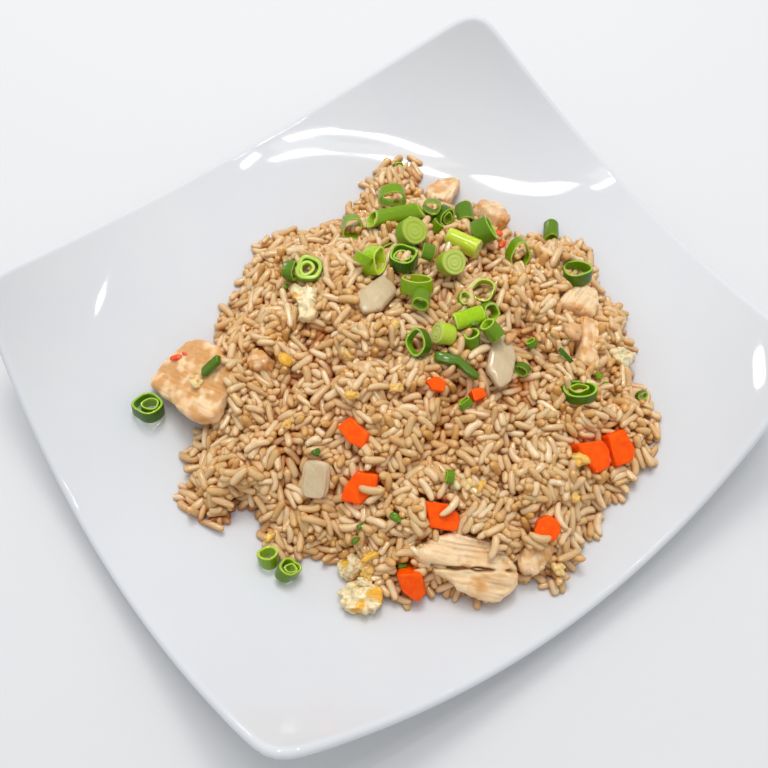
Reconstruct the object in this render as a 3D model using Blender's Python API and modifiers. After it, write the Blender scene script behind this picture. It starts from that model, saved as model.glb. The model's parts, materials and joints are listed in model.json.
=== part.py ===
"""Chicken fried rice on a square coupe plate with upswept corners.

The frame stands on the plate's foot: +Z up, the origin on the table under the middle of the
plate, +X along the plate's longer side. Lengths are metres; the layout of the toppings is
written in millimetres and scaled by MM.
"""
import math

import bmesh
import bpy
import numpy as np
from mathutils import Matrix, Vector
from mathutils.bvhtree import BVHTree

MM = 0.001
GAP = 0.3 * MM                  # clearance between pieces that touch

# Plate: half sizes at the corners, how far the sides bow outward, and its heights.
CORNER_X = 128 * MM
CORNER_Y = 109 * MM
BOW_X = 0.143
BOW_Y = 0.220
CORNER_POWER = 36               # the higher, the tighter the rounded corners
WELL_Z = 7.5 * MM               # top of the well in the middle
RIM_Z = 20 * MM                 # rim at the middle of each side
CORNER_RISE = 41.5 * MM         # how much higher the corners stand
PLATE_WALL = 4.5 * MM
RIM_ROUNDING = 1.7 * MM
PLATE_CELLS = 16
FOOT_RADIUS = 62 * MM
FOOT_WIDTH = 5 * MM
FOOT_HEIGHT = 5 * MM

# Rice heap: a mound with lobes where spoonfuls slid outward.
HEAP_CENTRE = (6 * MM, -15 * MM)
HEAP_RADIUS = 97 * MM
HEAP_HEIGHT = 40 * MM
HEAP_EDGE = 3.5 * MM            # thickness where the heap thins out
HEAP_LIFT = 0.5 * MM            # clearance over the well
LUMP_HEIGHT = 3 * MM
HEAP_SEGMENTS = 66
HEAP_TOP_RINGS = 10
HEAP_RINGS = 12
# Lobes: direction in degrees, extra reach in mm, half width in degrees.
LOBES = ((5, 10, 6), (25, -6, 6), (60, 20, 7), (97, 6, 6), (163, 10, 4),
         (175, 21, 8), (-150, -6, 10), (-93, 7, 5), (-52, 6, 7))
# Lumps: wavelength in mm, direction in degrees, phase in radians.
LUMP_WAVES = ((31, 20, 0.3), (27, 95, 1.9), (22, 150, 4.0), (18, 60, 2.2), (15.5, 125, 5.1))

SLICE_SIDES = 9
SETTLE_STEP = 0.8 * MM
# Sideways nudges tried before a piece is lifted a step further.
NUDGES = [(reach * MM * math.cos(turn * math.pi / 4), reach * MM * math.sin(turn * math.pi / 4))
          for reach in (0, 1.5, 3) for turn in range(8 if reach else 1)]


# ---------------------------------------------------------------- surfaces

def plate_plan(u, v):
    """Plan position of plate coordinates u, v, each running from -1 to 1 between the sides."""
    return (CORNER_X * u * (1 + BOW_X * (1 - v * v)),
            CORNER_Y * v * (1 + BOW_Y * (1 - u * u)))


def plate_height(u, v):
    """Top of the plate: flat in the middle, rising to the sides and most to the corners."""
    level = u * u + v * v - u * u * v * v
    return WELL_Z + (RIM_Z - WELL_Z) * level ** 2 + CORNER_RISE * (u * v) ** 2


def plate_top(x, y):
    """Height of the plate's upper surface at a plan position."""
    u, v = x / CORNER_X, y / CORNER_Y
    for _ in range(25):
        u, v = (x / (CORNER_X * (1 + BOW_X * (1 - np.clip(v, -1, 1) ** 2))),
                y / (CORNER_Y * (1 + BOW_Y * (1 - np.clip(u, -1, 1) ** 2))))
    return plate_height(np.clip(u, -1, 1), np.clip(v, -1, 1))


def heap_reach(angle):
    """Distance from the heap's middle to its ragged edge, by direction in degrees."""
    reach = np.full(np.shape(angle), HEAP_RADIUS)
    for direction, extra, width in LOBES:
        offset = (angle - direction + 180) % 360 - 180
        reach = reach + extra * MM * np.exp(-(offset / width) ** 4)
    return reach


def heap_lumps(x, y):
    """Clumps of rice: five crossing waves, between -1 and 1."""
    total = 0
    for wavelength, direction, phase in LUMP_WAVES:
        turn = math.radians(direction)
        along = x * math.cos(turn) + y * math.sin(turn)
        total = total + np.sin(2 * math.pi * along / (wavelength * MM) + phase)
    return total / len(LUMP_WAVES)


def heap_fraction(x, y):
    """0 at the heap's middle, 1 at its edge."""
    dx, dy = x - HEAP_CENTRE[0], y - HEAP_CENTRE[1]
    return np.hypot(dx, dy) / heap_reach(np.degrees(np.arctan2(dy, dx)))


def heap_top(x, y):
    """Height of the rice, or of the bare plate outside the heap."""
    fraction = heap_fraction(x, y)
    fullness = np.clip(1 - fraction ** 2, 0, 1)
    rice = HEAP_EDGE + (HEAP_HEIGHT - HEAP_EDGE) * fullness ** 0.75
    rice = rice + LUMP_HEIGHT * heap_lumps(x, y) * fullness ** 0.35
    return plate_top(x, y) + np.where(fraction < 1, rice, 0)


def resting_plane(x, y, outline, yaw):
    """Height and upward normal of the plane that best fits what lies under an outline."""
    turn = math.radians(yaw)
    ox, oy = (np.array(outline, dtype=float) * MM).T
    px = x + ox * math.cos(turn) - oy * math.sin(turn)
    py = y + ox * math.sin(turn) + oy * math.cos(turn)
    terms = np.stack([np.ones(len(px)), px - x, py - y], axis=1)
    height, slope_x, slope_y = np.linalg.lstsq(terms, heap_top(px, py), rcond=None)[0]
    return height, Vector((-slope_x, -slope_y, 1)).normalized()


# ---------------------------------------------------------------- scene helpers

def clear_scene():
    for obj in list(bpy.data.objects):
        bpy.data.objects.remove(obj, do_unlink=True)
    for collection in list(bpy.data.collections):
        bpy.data.collections.remove(collection)


def new_collection(name):
    collection = bpy.data.collections.new(name)
    bpy.context.scene.collection.children.link(collection)
    return collection


def material(name, colour, roughness):
    mat = bpy.data.materials.new(name)
    mat.use_nodes = True
    shader = mat.node_tree.nodes["Principled BSDF"]
    shader.inputs["Base Color"].default_value = (*colour, 1)
    shader.inputs["Roughness"].default_value = roughness
    shader.inputs["Metallic"].default_value = 0
    return mat


def add_object(name, mesh, collection, mat=None):
    obj = bpy.data.objects.new(name, mesh)
    collection.objects.link(obj)
    if mat:
        mesh.materials.append(mat)
    return obj


def mesh_from(bm, name):
    mesh = bpy.data.meshes.new(name)
    bm.to_mesh(mesh)
    bm.free()
    return mesh


def move_points(mesh, mapping):
    """Replace every vertex by mapping(points), an array function."""
    points = np.empty(len(mesh.vertices) * 3, dtype=np.float32)
    mesh.vertices.foreach_get("co", points)
    moved = mapping(points.reshape(-1, 3).astype(float))
    mesh.vertices.foreach_set("co", moved.astype(np.float32).ravel())
    mesh.update()


def as_cutter(obj):
    obj.hide_render = True
    obj.display_type = "WIRE"
    return obj


def add_boolean(obj, other, operation):
    modifier = obj.modifiers.new(f"{operation.lower()}_{other.name}", "BOOLEAN")
    modifier.object = other
    modifier.operation = operation
    modifier.solver = "EXACT"


def evaluated_mesh(obj):
    bpy.context.view_layer.update()
    depsgraph = bpy.context.evaluated_depsgraph_get()
    return bpy.data.meshes.new_from_object(obj.evaluated_get(depsgraph))


def surface_triangles(obj):
    """World points and triangles of an object's finished surface."""
    mesh = evaluated_mesh(obj)
    mesh.calc_loop_triangles()
    points = [obj.matrix_world @ vertex.co for vertex in mesh.vertices]
    triangles = [tuple(triangle.vertices) for triangle in mesh.loop_triangles]
    bpy.data.meshes.remove(mesh)
    return points, triangles


# ---------------------------------------------------------------- plate

def make_plate(parts, helpers):
    bpy.ops.mesh.primitive_grid_add(x_subdivisions=PLATE_CELLS, y_subdivisions=PLATE_CELLS, size=2)
    plate = bpy.context.object
    plate.name = plate.data.name = "plate"
    for collection in list(plate.users_collection):
        collection.objects.unlink(plate)
    parts.objects.link(plate)
    plate.data.materials.append(material("glazed_porcelain", (0.82, 0.83, 0.84), 0.12))

    def dish(points):
        # Cells narrow toward the rim, then the square's corners are rounded.
        u, v = (np.sin(points[:, axis] * 1.41) / math.sin(1.41) for axis in (0, 1))
        largest = np.maximum(np.abs(u), np.abs(v))
        rounded = (np.abs(u) ** CORNER_POWER + np.abs(v) ** CORNER_POWER) ** (1 / CORNER_POWER)
        shrink = np.where(largest > 0, largest / np.maximum(rounded, 1e-9), 1)
        u, v = u * shrink, v * shrink
        x, y = plate_plan(u, v)
        return np.stack([x, y, plate_height(u, v)], axis=1)

    move_points(plate.data, dish)
    wall = plate.modifiers.new("wall", "SOLIDIFY")
    wall.thickness = PLATE_WALL
    wall.offset = -1
    wall.use_even_offset = True
    rim = plate.modifiers.new("rim", "BEVEL")
    rim.width = RIM_ROUNDING
    rim.segments = 2
    rim.limit_method = "ANGLE"
    rim.angle_limit = math.radians(50)
    add_boolean(plate, make_foot(helpers), "UNION")
    plate.data.shade_smooth()
    return plate


def make_foot(helpers):
    """The ring that the plate stands on, sunk into the underside."""
    bm = bmesh.new()
    outer = FOOT_RADIUS + FOOT_WIDTH / 2
    inner = FOOT_RADIUS - FOOT_WIDTH / 2
    corners = [bm.verts.new((r, 0, z)) for r, z in
               ((outer, FOOT_HEIGHT), (outer, 0), (inner, 0), (inner, FOOT_HEIGHT))]
    for start, end in zip(corners, corners[1:] + corners[:1]):
        bm.edges.new((start, end))
    foot = as_cutter(add_object("foot_ring", mesh_from(bm, "foot_ring"), helpers))
    screw = foot.modifiers.new("turn", "SCREW")
    screw.steps = screw.render_steps = 36
    screw.use_merge_vertices = True
    screw.merge_threshold = 0.0001
    return foot


# ---------------------------------------------------------------- rice heap

def make_heap(parts):
    """A sphere whose upper rings become the heap's surface and the rest its underside."""
    bm = bmesh.new()
    bmesh.ops.create_uvsphere(bm, u_segments=HEAP_SEGMENTS, v_segments=HEAP_RINGS, radius=1)
    mesh = mesh_from(bm, "rice_heap")

    def mound(points):
        ring = np.arccos(np.clip(points[:, 2], -1, 1)) / math.pi * HEAP_RINGS
        angle = np.arctan2(points[:, 1], points[:, 0])
        upper = ring <= HEAP_TOP_RINGS + 0.5
        fraction = np.where(upper, (ring / HEAP_TOP_RINGS) ** 0.85,
                            (HEAP_RINGS - ring) / (HEAP_RINGS - HEAP_TOP_RINGS))
        spread = fraction * heap_reach(np.degrees(angle)) * 0.9999
        x = HEAP_CENTRE[0] + spread * np.cos(angle)
        y = HEAP_CENTRE[1] + spread * np.sin(angle)
        edge_rounding = np.where(fraction > 0.99, -HEAP_EDGE / 2, 0)
        z = np.where(upper, heap_top(x, y) + edge_rounding, plate_top(x, y)) + HEAP_LIFT
        return np.stack([x, y, z], axis=1)

    move_points(mesh, mound)
    mesh.shade_smooth()
    return add_object("rice_heap", mesh, parts, material("fried_rice", (0.53, 0.36, 0.20), 0.5))


def keep_largest_body(obj):
    """Drop the loose chips that the sockets leave between neighbouring toppings."""
    mesh = evaluated_mesh(obj)
    obj.modifiers.clear()
    bm = bmesh.new()
    bm.from_mesh(mesh)
    unseen = set(bm.verts)
    bodies = []
    while unseen:
        body, front = set(), [unseen.pop()]
        while front:
            vertex = front.pop()
            body.add(vertex)
            for edge in vertex.link_edges:
                other = edge.other_vert(vertex)
                if other in unseen:
                    unseen.discard(other)
                    front.append(other)
        bodies.append(body)
    largest = max(bodies, key=len)
    chips = [vertex for vertex in bm.verts if vertex not in largest]
    bmesh.ops.delete(bm, geom=chips, context="VERTS")
    bm.to_mesh(obj.data)
    bm.free()
    bpy.data.meshes.remove(mesh)


# ---------------------------------------------------------------- toppings

class Layout:
    """Places toppings on the heap, one after another, so that none overlaps another."""

    def __init__(self, parts, cutters, heap, plate):
        self.parts = parts
        self.cutters = cutters
        self.heap = heap
        self.placed = [surface_triangles(plate)]
        self.materials = {}

    def look(self, name, colour, roughness):
        if name not in self.materials:
            self.materials[name] = material(name, colour, roughness)
        return self.materials[name]

    def settle(self, obj, cutter):
        """Nudge and lift the piece until it lies clear of the plate and the earlier pieces."""
        points, triangles = surface_triangles(obj)
        others = [BVHTree.FromPolygons(*other) for other in self.placed]

        def is_clear(shift):
            for margin in (-GAP, 0, GAP):
                moved = [point + shift + Vector((0, 0, margin)) for point in points]
                tree = BVHTree.FromPolygons(moved, triangles)
                if any(tree.overlap(other) for other in others):
                    return False
            return True

        shifts = (Vector((*nudge, step * SETTLE_STEP)) for step in range(40) for nudge in NUDGES)
        shift = next(candidate for candidate in shifts if is_clear(candidate))
        for moved in (obj, cutter):
            moved.location += shift
        self.placed.append(surface_triangles(obj))
        add_boolean(self.heap, cutter, "DIFFERENCE")

    def slab(self, name, at, outline, thick, look, yaw=0, proud=None, lean=None, rounding=0.5):
        """A cut piece lying on the rice: an outline in mm with a thickness in mm.

        proud is how far its top stands over what it lies on, and lean gives the tilt and the
        direction of its upper face in degrees where it doesn't follow the rice.
        """
        x, y = at[0] * MM, at[1] * MM
        height, normal = resting_plane(x, y, outline, yaw)
        if lean:
            tilt, toward = (math.radians(angle) for angle in lean)
            normal = Vector((math.sin(tilt) * math.cos(toward),
                             math.sin(tilt) * math.sin(toward), math.cos(tilt)))
        along = Vector((math.cos(math.radians(yaw)), math.sin(math.radians(yaw)), 0))
        along = (along - normal * along.dot(normal)).normalized()
        turn = Matrix((along, normal.cross(along), normal)).transposed().to_4x4()
        rise = (thick * 0.3 if proud is None else proud) * MM - thick * MM / 2
        middle = Vector((x, y, height)) + normal * rise
        pose = Matrix.Translation(middle) @ turn
        piece = self.prism(name, outline, thick * MM, rounding * MM, 0, self.parts, look)
        cutter = self.prism(f"{name}_socket", outline, thick * MM + 2 * GAP, 0, GAP, self.cutters)
        piece.matrix_world = pose
        as_cutter(cutter).matrix_world = pose
        self.settle(piece, cutter)

    def prism(self, name, outline, thickness, rounding, grow, collection, look=None):
        bm = bmesh.new()
        bmesh.ops.create_circle(bm, cap_ends=True, segments=len(outline), radius=1)
        bm.verts.ensure_lookup_table()
        start = math.atan2(bm.verts[0].co.y, bm.verts[0].co.x)
        by_angle = sorted(bm.verts, key=lambda v: (math.atan2(v.co.y, v.co.x) - start) % math.tau)
        for vertex, (px, py) in zip(by_angle, outline):
            reach = math.hypot(px, py) * MM
            stretch = (reach + 1.5 * grow) / reach
            vertex.co = Vector((px * MM * stretch, py * MM * stretch, 0))
        bmesh.ops.recalc_face_normals(bm, faces=bm.faces)
        obj = add_object(name, mesh_from(bm, name), collection, look)
        wall = obj.modifiers.new("thickness", "SOLIDIFY")
        wall.thickness = thickness
        wall.offset = 0
        if rounding:
            soft = obj.modifiers.new("rounding", "BEVEL")
            soft.width = rounding
            soft.segments = 1
            soft.limit_method = "ANGLE"
            soft.angle_limit = math.radians(40)
        return obj

    def slice(self, name, at, radii, length, wall, tilt=0, azimuth=0, spin=0, lift=2, pale=False):
        """A slice of scallion: a tube with two radii and a wall, or solid where wall is 0.

        Its axis leans by tilt degrees from upright toward azimuth, and spin turns its oval.
        """
        look = self.look("scallion_white", (0.45, 0.62, 0.12), 0.3)
        if not pale:
            look = self.look("scallion_green", (0.06, 0.26, 0.015), 0.3)
        x, y = at[0] * MM, at[1] * MM
        centre = Vector((x, y, float(heap_top(x, y)) + lift * MM))
        pose = (Matrix.Translation(centre) @ Matrix.Rotation(math.radians(azimuth), 4, "Z")
                @ Matrix.Rotation(math.radians(tilt), 4, "Y")
                @ Matrix.Rotation(math.radians(spin), 4, "Z"))
        piece = self.tube(name, radii, length, wall, 0, self.parts, look)
        cutter = self.tube(f"{name}_socket", radii, length, 0, GAP, self.cutters)
        piece.matrix_world = pose
        as_cutter(cutter).matrix_world = pose
        self.settle(piece, cutter)

    def tube(self, name, radii, length, wall, grow, collection, look=None):
        bm = bmesh.new()
        half = length * MM / 2 + grow
        if wall:
            # A closed profile turned by Screw; without a wall it is a plain cylinder.
            profile = ((1, half), (1, -half), (1 - wall / radii[0], -half), (1 - wall / radii[0], half))
            corners = [bm.verts.new((r * radii[0] * MM, 0, z)) for r, z in profile]
            for start, end in zip(corners, corners[1:] + corners[:1]):
                bm.edges.new((start, end))
            obj = add_object(name, mesh_from(bm, name), collection, look)
            screw = obj.modifiers.new("turn", "SCREW")
            screw.steps = screw.render_steps = SLICE_SIDES
            screw.use_merge_vertices = True
            screw.merge_threshold = 0.00001
            turned = evaluated_mesh(obj)
            obj.modifiers.clear()
            obj.data = turned
        else:
            # A socket's flat sides clear the tube's corners, however the two are turned.
            widen = 1 / math.cos(math.pi / SLICE_SIDES) if grow else 1
            radius = (radii[0] * MM + grow) * widen
            bmesh.ops.create_cone(bm, cap_ends=True, segments=SLICE_SIDES, depth=2 * half,
                                  radius1=radius, radius2=radius)
            obj = add_object(name, mesh_from(bm, name), collection, look)
        squeeze = (radii[1] * MM + grow) / (radii[0] * MM + grow)
        move_points(obj.data, lambda points: points * np.array([1, squeeze, 1]))
        return obj


def lay_chicken(layout):
    """Slices of pale chicken breast, some browned, at the edges of the heap."""
    def chicken(name, at, outline, thick, **options):
        look = layout.look("chicken", (0.80, 0.55, 0.33), 0.4)
        options.setdefault("rounding", 2)
        layout.slab(name, at, outline, thick, look, **options)

    chicken("chicken_left", (-77, 37), ((-3, -14), (18, -9), (25, -3), (15, 15), (-4, 19),
                                        (-18, 11), (-19, -4), (-15, -15)),
            9, yaw=-85, proud=8)
    chicken("chicken_front", (-30, -92), ((-15, -6), (1, -11), (15, -13), (22, -2), (17, 4),
                                          (8, 12), (-8, 11), (-16, 6), (-24, 0)),
            10, yaw=-50, lean=(20, -110))
    chicken("chicken_front_small", (-8, -105), ((-8, -2), (-2, -6), (5, -4), (10, -1), (5, 7),
                                                (-2, 6), (-8, 1)),
            9, yaw=5, lean=(25, -100))
    chicken("chicken_fold", (81, -29), ((-5, -6), (3, -9), (11, 0), (9, 7), (-7, 5), (-15, -1)),
            7, yaw=-15, proud=4)
    chicken("chicken_strip", (70, -46), ((-13, -3), (11, -6), (14, 2), (0, 3), (-13, 5)),
            6, yaw=45, proud=4)
    chicken("chicken_top", (74, 56), ((-15, -1), (-8, -9), (3, -5), (14, 0), (2, 6), (-7, 7)),
            7, yaw=15, proud=5)
    chicken("chicken_curl", (81, 33), ((-10, -2), (-1, -12), (7, -7), (10, -1), (6, 7),
                                       (-4, 5)),
            8, yaw=90, proud=5)
    chicken("chicken_chunk", (-49, 28), ((-6, -4), (0, -5), (6, -1), (6, 3), (-1, 6), (-6, 1)),
            8, yaw=85)


def lay_carrots(layout):
    """Diced carrot, cut by hand, so every piece has its own outline."""
    def carrot(name, at, outline, thick=9, **options):
        look = layout.look("carrot", (0.87, 0.14, 0.005), 0.35)
        layout.slab(name, at, outline, thick, look, **options)

    carrot("carrot_1", (-37, -26), ((-7, -3), (1, -4), (7, -2), (5, 4), (-6, 4)), yaw=-80)
    carrot("carrot_2", (-47, -44), ((-9, -2), (-2, -6), (6, -3), (9, 3), (1, 7), (-6, 2)), yaw=-15)
    carrot("carrot_3", (-28, -73), ((-4, -6), (7, -4), (6, 2), (0, 5), (-9, 3)), yaw=-55)
    carrot("carrot_4", (2, -99), ((-5, -4), (3, -5), (5, 0), (3, 3), (-1, 5), (-5, 2)), yaw=-50)
    carrot("carrot_5", (-51, -85), ((-2, -4), (6, -4), (6, 1), (-1, 7), (-8, 1)), yaw=-80)
    carrot("carrot_6", (39, -86), ((-6, -2), (1, -8), (7, -5), (7, 2), (3, 6), (-9, 3)), yaw=-40)
    carrot("carrot_7", (49, -90), ((-7, -3), (-2, -6), (7, -4), (7, 4), (-6, 5)), yaw=80)
    carrot("carrot_8", (1, -29), ((-2, -3), (3, -3), (4, 1), (0, 3), (-5, 1)), 6, yaw=-40)
    carrot("carrot_9", (12, -42), ((-3, -2), (3, -2), (3, 2), (-2, 3)), 6, yaw=-10)


def lay_onion_and_egg(layout):
    """Squares of soft onion and curds of scrambled egg."""
    def onion(name, at, outline, **options):
        look = layout.look("onion", (0.74, 0.66, 0.48), 0.25)
        layout.slab(name, at, outline, 4, look, rounding=1.2, **options)

    def egg(name, at, outline, thick, **options):
        look = layout.look("egg", (0.87, 0.74, 0.42), 0.45)
        layout.slab(name, at, outline, thick, look, rounding=1.5, **options)

    onion("onion_1", (-59, -31), ((-8, -4), (1, -5), (7, -4), (7, 6), (-7, 7)), yaw=50,
          lean=(25, -145))
    onion("onion_2", (30, -36), ((-13, 1), (-8, -4), (3, -6), (12, -2), (11, 5), (-5, 7)), yaw=50)
    onion("onion_3", (5, 19), ((-11, 1), (-5, -5), (7, -7), (12, 2), (5, 5), (-2, 9)), yaw=30)
    egg("egg_1", (-20, 36), ((-10, -3), (-2, -4), (8, -5), (14, 6), (0, 4), (-9, 2)), 5, yaw=65)
    egg("egg_2", (-68, -67), ((-6, 0), (-2, -6), (4, -3), (4, 4), (-1, 5)), 5, yaw=-55)
    egg("egg_3", (-73, -77), ((-9, 0), (-7, -5), (2, -6), (9, -2), (9, 3), (2, 6), (-6, 5)), 6,
        yaw=-40)
    egg("egg_4", (81, -59), ((-7, -1), (0, -4), (8, -1), (5, 2), (-6, 4)), 5, yaw=-15)


def lay_scallions(layout):
    """Sliced scallion: a cluster over the back of the heap, and stray slices around it."""
    ring = layout.slice
    # Long and lower pieces of the cluster first, so that the others come to lie on them.
    ring("scallion_stalk", (38, 49), (4, 4), 24, 1.2, tilt=85, azimuth=160, spin=20)
    ring("scallion_back", (43, 59), (6.5, 5.5), 5, 1.2, tilt=80, azimuth=-125, spin=-90)
    ring("scallion_back_left", (20, 59), (6, 4.5), 6, 1.2, tilt=60, azimuth=-110, spin=-20)
    ring("scallion_pale_slant", (54, 21), (4.5, 4.5), 15, 0, tilt=85, azimuth=-65, pale=True)
    ring("scallion_twin", (63, 22), (6, 5.5), 8.5, 1.3, tilt=65, azimuth=-20, spin=-60)
    ring("scallion_upright", (67, 36), (4, 4), 9, 1.3, tilt=80, azimuth=-120, spin=80)
    ring("scallion_crumpled", (57, 39), (5.5, 4.5), 6, 1.3, tilt=65, azimuth=-85, spin=-20)
    ring("scallion_core", (35, 35), (6.5, 6), 7, 0, tilt=30, azimuth=-65, spin=35, lift=4)
    ring("scallion_dark", (24, 25), (6.5, 5.5), 7, 1.3, tilt=15, azimuth=65, spin=80)
    ring("scallion_disc", (40, 13), (6, 5.5), 7, 0, tilt=30, azimuth=-80, spin=50, lift=3,
         pale=True)
    ring("scallion_band", (24, 15), (7, 5.5), 6, 1.2, tilt=40, azimuth=55, spin=-90)
    ring("scallion_under_band", (20, 7), (4, 4), 6, 1.2, tilt=70, azimuth=-130, spin=-85)
    ring("scallion_lime", (14, 30), (6.5, 4.5), 7, 1.5, tilt=60, azimuth=-55, spin=-55)
    ring("scallion_open", (71, 3), (6.5, 5.5), 5, 1.2, tilt=55, azimuth=-105, spin=-10)
    ring("scallion_thin", (43, -6), (5.5, 5), 4, 1, tilt=10, azimuth=-165, spin=-50, pale=True)
    ring("scallion_behind_lime", (39, -15), (4, 4), 5, 1.2, tilt=40, azimuth=-75, spin=45)
    ring("scallion_lime_tube", (28, -14), (4, 4), 12, 1.2, tilt=85, azimuth=165, lift=4, pale=True)
    ring("scallion_pale_face", (18, -16), (4.5, 4.5), 7, 0, tilt=60, azimuth=150, pale=True)
    ring("scallion_front", (24, -22), (3.5, 3.5), 7, 1.2, tilt=25, azimuth=65)
    ring("scallion_front_right", (32, -25), (3.5, 3.5), 8, 1.2, tilt=55, azimuth=105)
    ring("scallion_left_of_strip", (5, -11), (6, 5), 5, 1.2, tilt=40, azimuth=170, spin=70)
    ring("scallion_layered", (-9, 49), (6, 6), 5, 2, tilt=10, azimuth=-125)
    ring("scallion_arc", (-15, 55), (4.5, 4), 5, 1.2, tilt=70, azimuth=-50, spin=-50)
    ring("scallion_right", (86, -20), (7, 6), 6, 1.3, tilt=20, azimuth=60, spin=85)
    ring("scallion_squeezed", (49, -64), (7, 5.5), 5, 1.3, tilt=30, azimuth=70, spin=65)
    ring("scallion_loose_right", (102, 12), (3.5, 3.5), 9, 1.3, tilt=85, azimuth=-130)
    ring("scallion_loose_left", (-96, 44), (7, 6), 6, 1.3, tilt=20, azimuth=45, spin=-80)
    ring("scallion_loose_front_1", (-91, -42), (4.5, 4), 6, 1.3, tilt=30, azimuth=60, spin=80)
    ring("scallion_loose_front_2", (-90, -49), (5, 4), 6, 1.3, tilt=35, azimuth=10, spin=-25)
    green = layout.look("scallion_green", (0.06, 0.26, 0.015), 0.3)
    layout.slab("scallion_strip", (14, -27), ((-11, -1), (-9, -5), (0, -2), (10, -4), (10, -1),
                                              (-1, 2)),
                4, green, yaw=-65, proud=3)
    layout.slab("scallion_on_chicken", (-61, 30), ((-5, -2), (5, -2), (5, 2), (-5, 2)), 3, green,
                yaw=-10, proud=12)


def build():
    clear_scene()
    parts = new_collection("fried_rice_plate")
    cutters = new_collection("cutters")
    plate = make_plate(parts, cutters)
    heap = make_heap(parts)
    layout = Layout(parts, cutters, heap, plate)
    lay_chicken(layout)
    lay_carrots(layout)
    lay_onion_and_egg(layout)
    lay_scallions(layout)
    keep_largest_body(heap)


build()
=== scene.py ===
# %% [markdown]
# # Chicken fried rice on a square plate
#
# A white porcelain plate with upswept corners carries a heap of fried rice with carrot,
# onion, egg, chicken and sliced scallion. The solids give the sizes and places. This script
# dresses them: a smooth glazed plate, thousands of single grains over a smaller core, and a
# detailed piece for each topping.

import json
import math

import bpy
import numpy as np
from mathutils import Matrix, Vector


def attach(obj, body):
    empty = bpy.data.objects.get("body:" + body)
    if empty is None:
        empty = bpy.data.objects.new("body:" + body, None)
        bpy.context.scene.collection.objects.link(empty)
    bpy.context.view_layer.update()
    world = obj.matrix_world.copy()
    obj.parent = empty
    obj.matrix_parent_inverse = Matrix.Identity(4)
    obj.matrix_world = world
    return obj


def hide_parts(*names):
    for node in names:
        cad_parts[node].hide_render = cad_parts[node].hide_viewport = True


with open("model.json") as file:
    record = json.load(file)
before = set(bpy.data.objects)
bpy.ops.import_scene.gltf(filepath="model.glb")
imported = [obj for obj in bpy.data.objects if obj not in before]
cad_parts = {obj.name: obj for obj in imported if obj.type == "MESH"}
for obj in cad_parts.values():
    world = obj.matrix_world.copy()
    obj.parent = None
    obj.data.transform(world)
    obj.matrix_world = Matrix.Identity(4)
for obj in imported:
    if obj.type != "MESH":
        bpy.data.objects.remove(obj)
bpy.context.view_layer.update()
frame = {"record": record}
nodes = sorted(part["node"] for part in frame["record"]["subparts"])
MM = 0.001

# %% [markdown]
# ## Surfaces from arrays
#
# Every new piece is a grid of points worked out with numpy. A closed skin is a stack of
# rings between two poles, and a ring-shaped piece wraps round in both directions. Both use
# the same corner order, so that all faces point outward.


# %% Meshes from grids
def ring_faces(rows, columns, wrap_rows=False, first=0):
    """Quads between neighbouring rings of a rows by columns grid that closes round its columns."""
    row = np.arange(rows if wrap_rows else rows - 1)[:, None]
    column = np.arange(columns)[None, :]
    below, beside = (row + 1) % rows, (column + 1) % columns
    corners = (row * columns + column, below * columns + column,
               below * columns + beside, row * columns + beside)
    return first + np.stack(np.broadcast_arrays(*corners), axis=-1).reshape(-1, 4)


def closed_skin(rings, top, bottom):
    """Points and faces of a stack of rings (rows, columns, 3) closed by a pole at each end."""
    rows, columns = rings.shape[:2]
    points = np.concatenate([rings.reshape(-1, 3), [top, bottom]])
    last = (rows - 1) * columns
    here = np.arange(columns)
    beside = (here + 1) % columns
    upper = np.stack([np.full(columns, rows * columns), here, beside], axis=1)
    lower = np.stack([np.full(columns, rows * columns + 1), last + beside, last + here], axis=1)
    return points, [ring_faces(rows, columns), np.concatenate([upper, lower])]


pieces = []


def add_piece(name, points, faces, look, stands_for=(), values=None):
    """A smooth mesh object from points and a list of face arrays, riding on the plate."""
    mesh = bpy.data.meshes.new(name)
    corners = np.concatenate([part.ravel() for part in faces]).astype(np.int32)
    sizes = np.concatenate([np.full(len(part), part.shape[1]) for part in faces])
    starts = np.concatenate([[0], np.cumsum(sizes)[:-1]]).astype(np.int32)
    mesh.vertices.add(len(points))
    mesh.vertices.foreach_set("co", np.asarray(points, np.float32).ravel())
    mesh.loops.add(len(corners))
    mesh.polygons.add(len(sizes))
    mesh.polygons.foreach_set("loop_start", starts)
    mesh.polygons.foreach_set("vertices", corners)
    mesh.update(calc_edges=True)
    mesh.validate()
    mesh.polygons.foreach_set("use_smooth", np.ones(len(mesh.polygons), bool))
    for key, amounts in (values or {}).items():
        layer = mesh.attributes.new(key, "FLOAT", "POINT")
        layer.data.foreach_set("value", np.asarray(amounts, np.float32))
    mesh.materials.append(look)
    piece = bpy.data.objects.new(name, mesh)
    bpy.context.scene.collection.objects.link(piece)
    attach(piece, "root")
    if stands_for:
        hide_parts(*stands_for)
    pieces.append(piece)
    return piece


def unit(vectors):
    """Vectors scaled to length one."""
    return vectors / np.maximum(np.linalg.norm(vectors, axis=-1, keepdims=True), 1e-12)


def joined(parts):
    """One list of points and faces from several (points, faces), with their values."""
    points, faces, values = [], [], {}
    first = 0
    for part_points, part_faces, part_values in parts:
        faces += [part + first for part in part_faces]
        points.append(part_points)
        first += len(part_points)
        for key, amounts in part_values.items():
            values.setdefault(key, []).append(np.broadcast_to(amounts, len(part_points)))
    return np.concatenate(points), faces, {key: np.concatenate(v) for key, v in values.items()}


# %% [markdown]
# Cooked food is uneven at several scales. Value noise gives that: random numbers on a
# lattice, blended smoothly between its points. A fixed lattice hash keeps it the same in
# every run.


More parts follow.
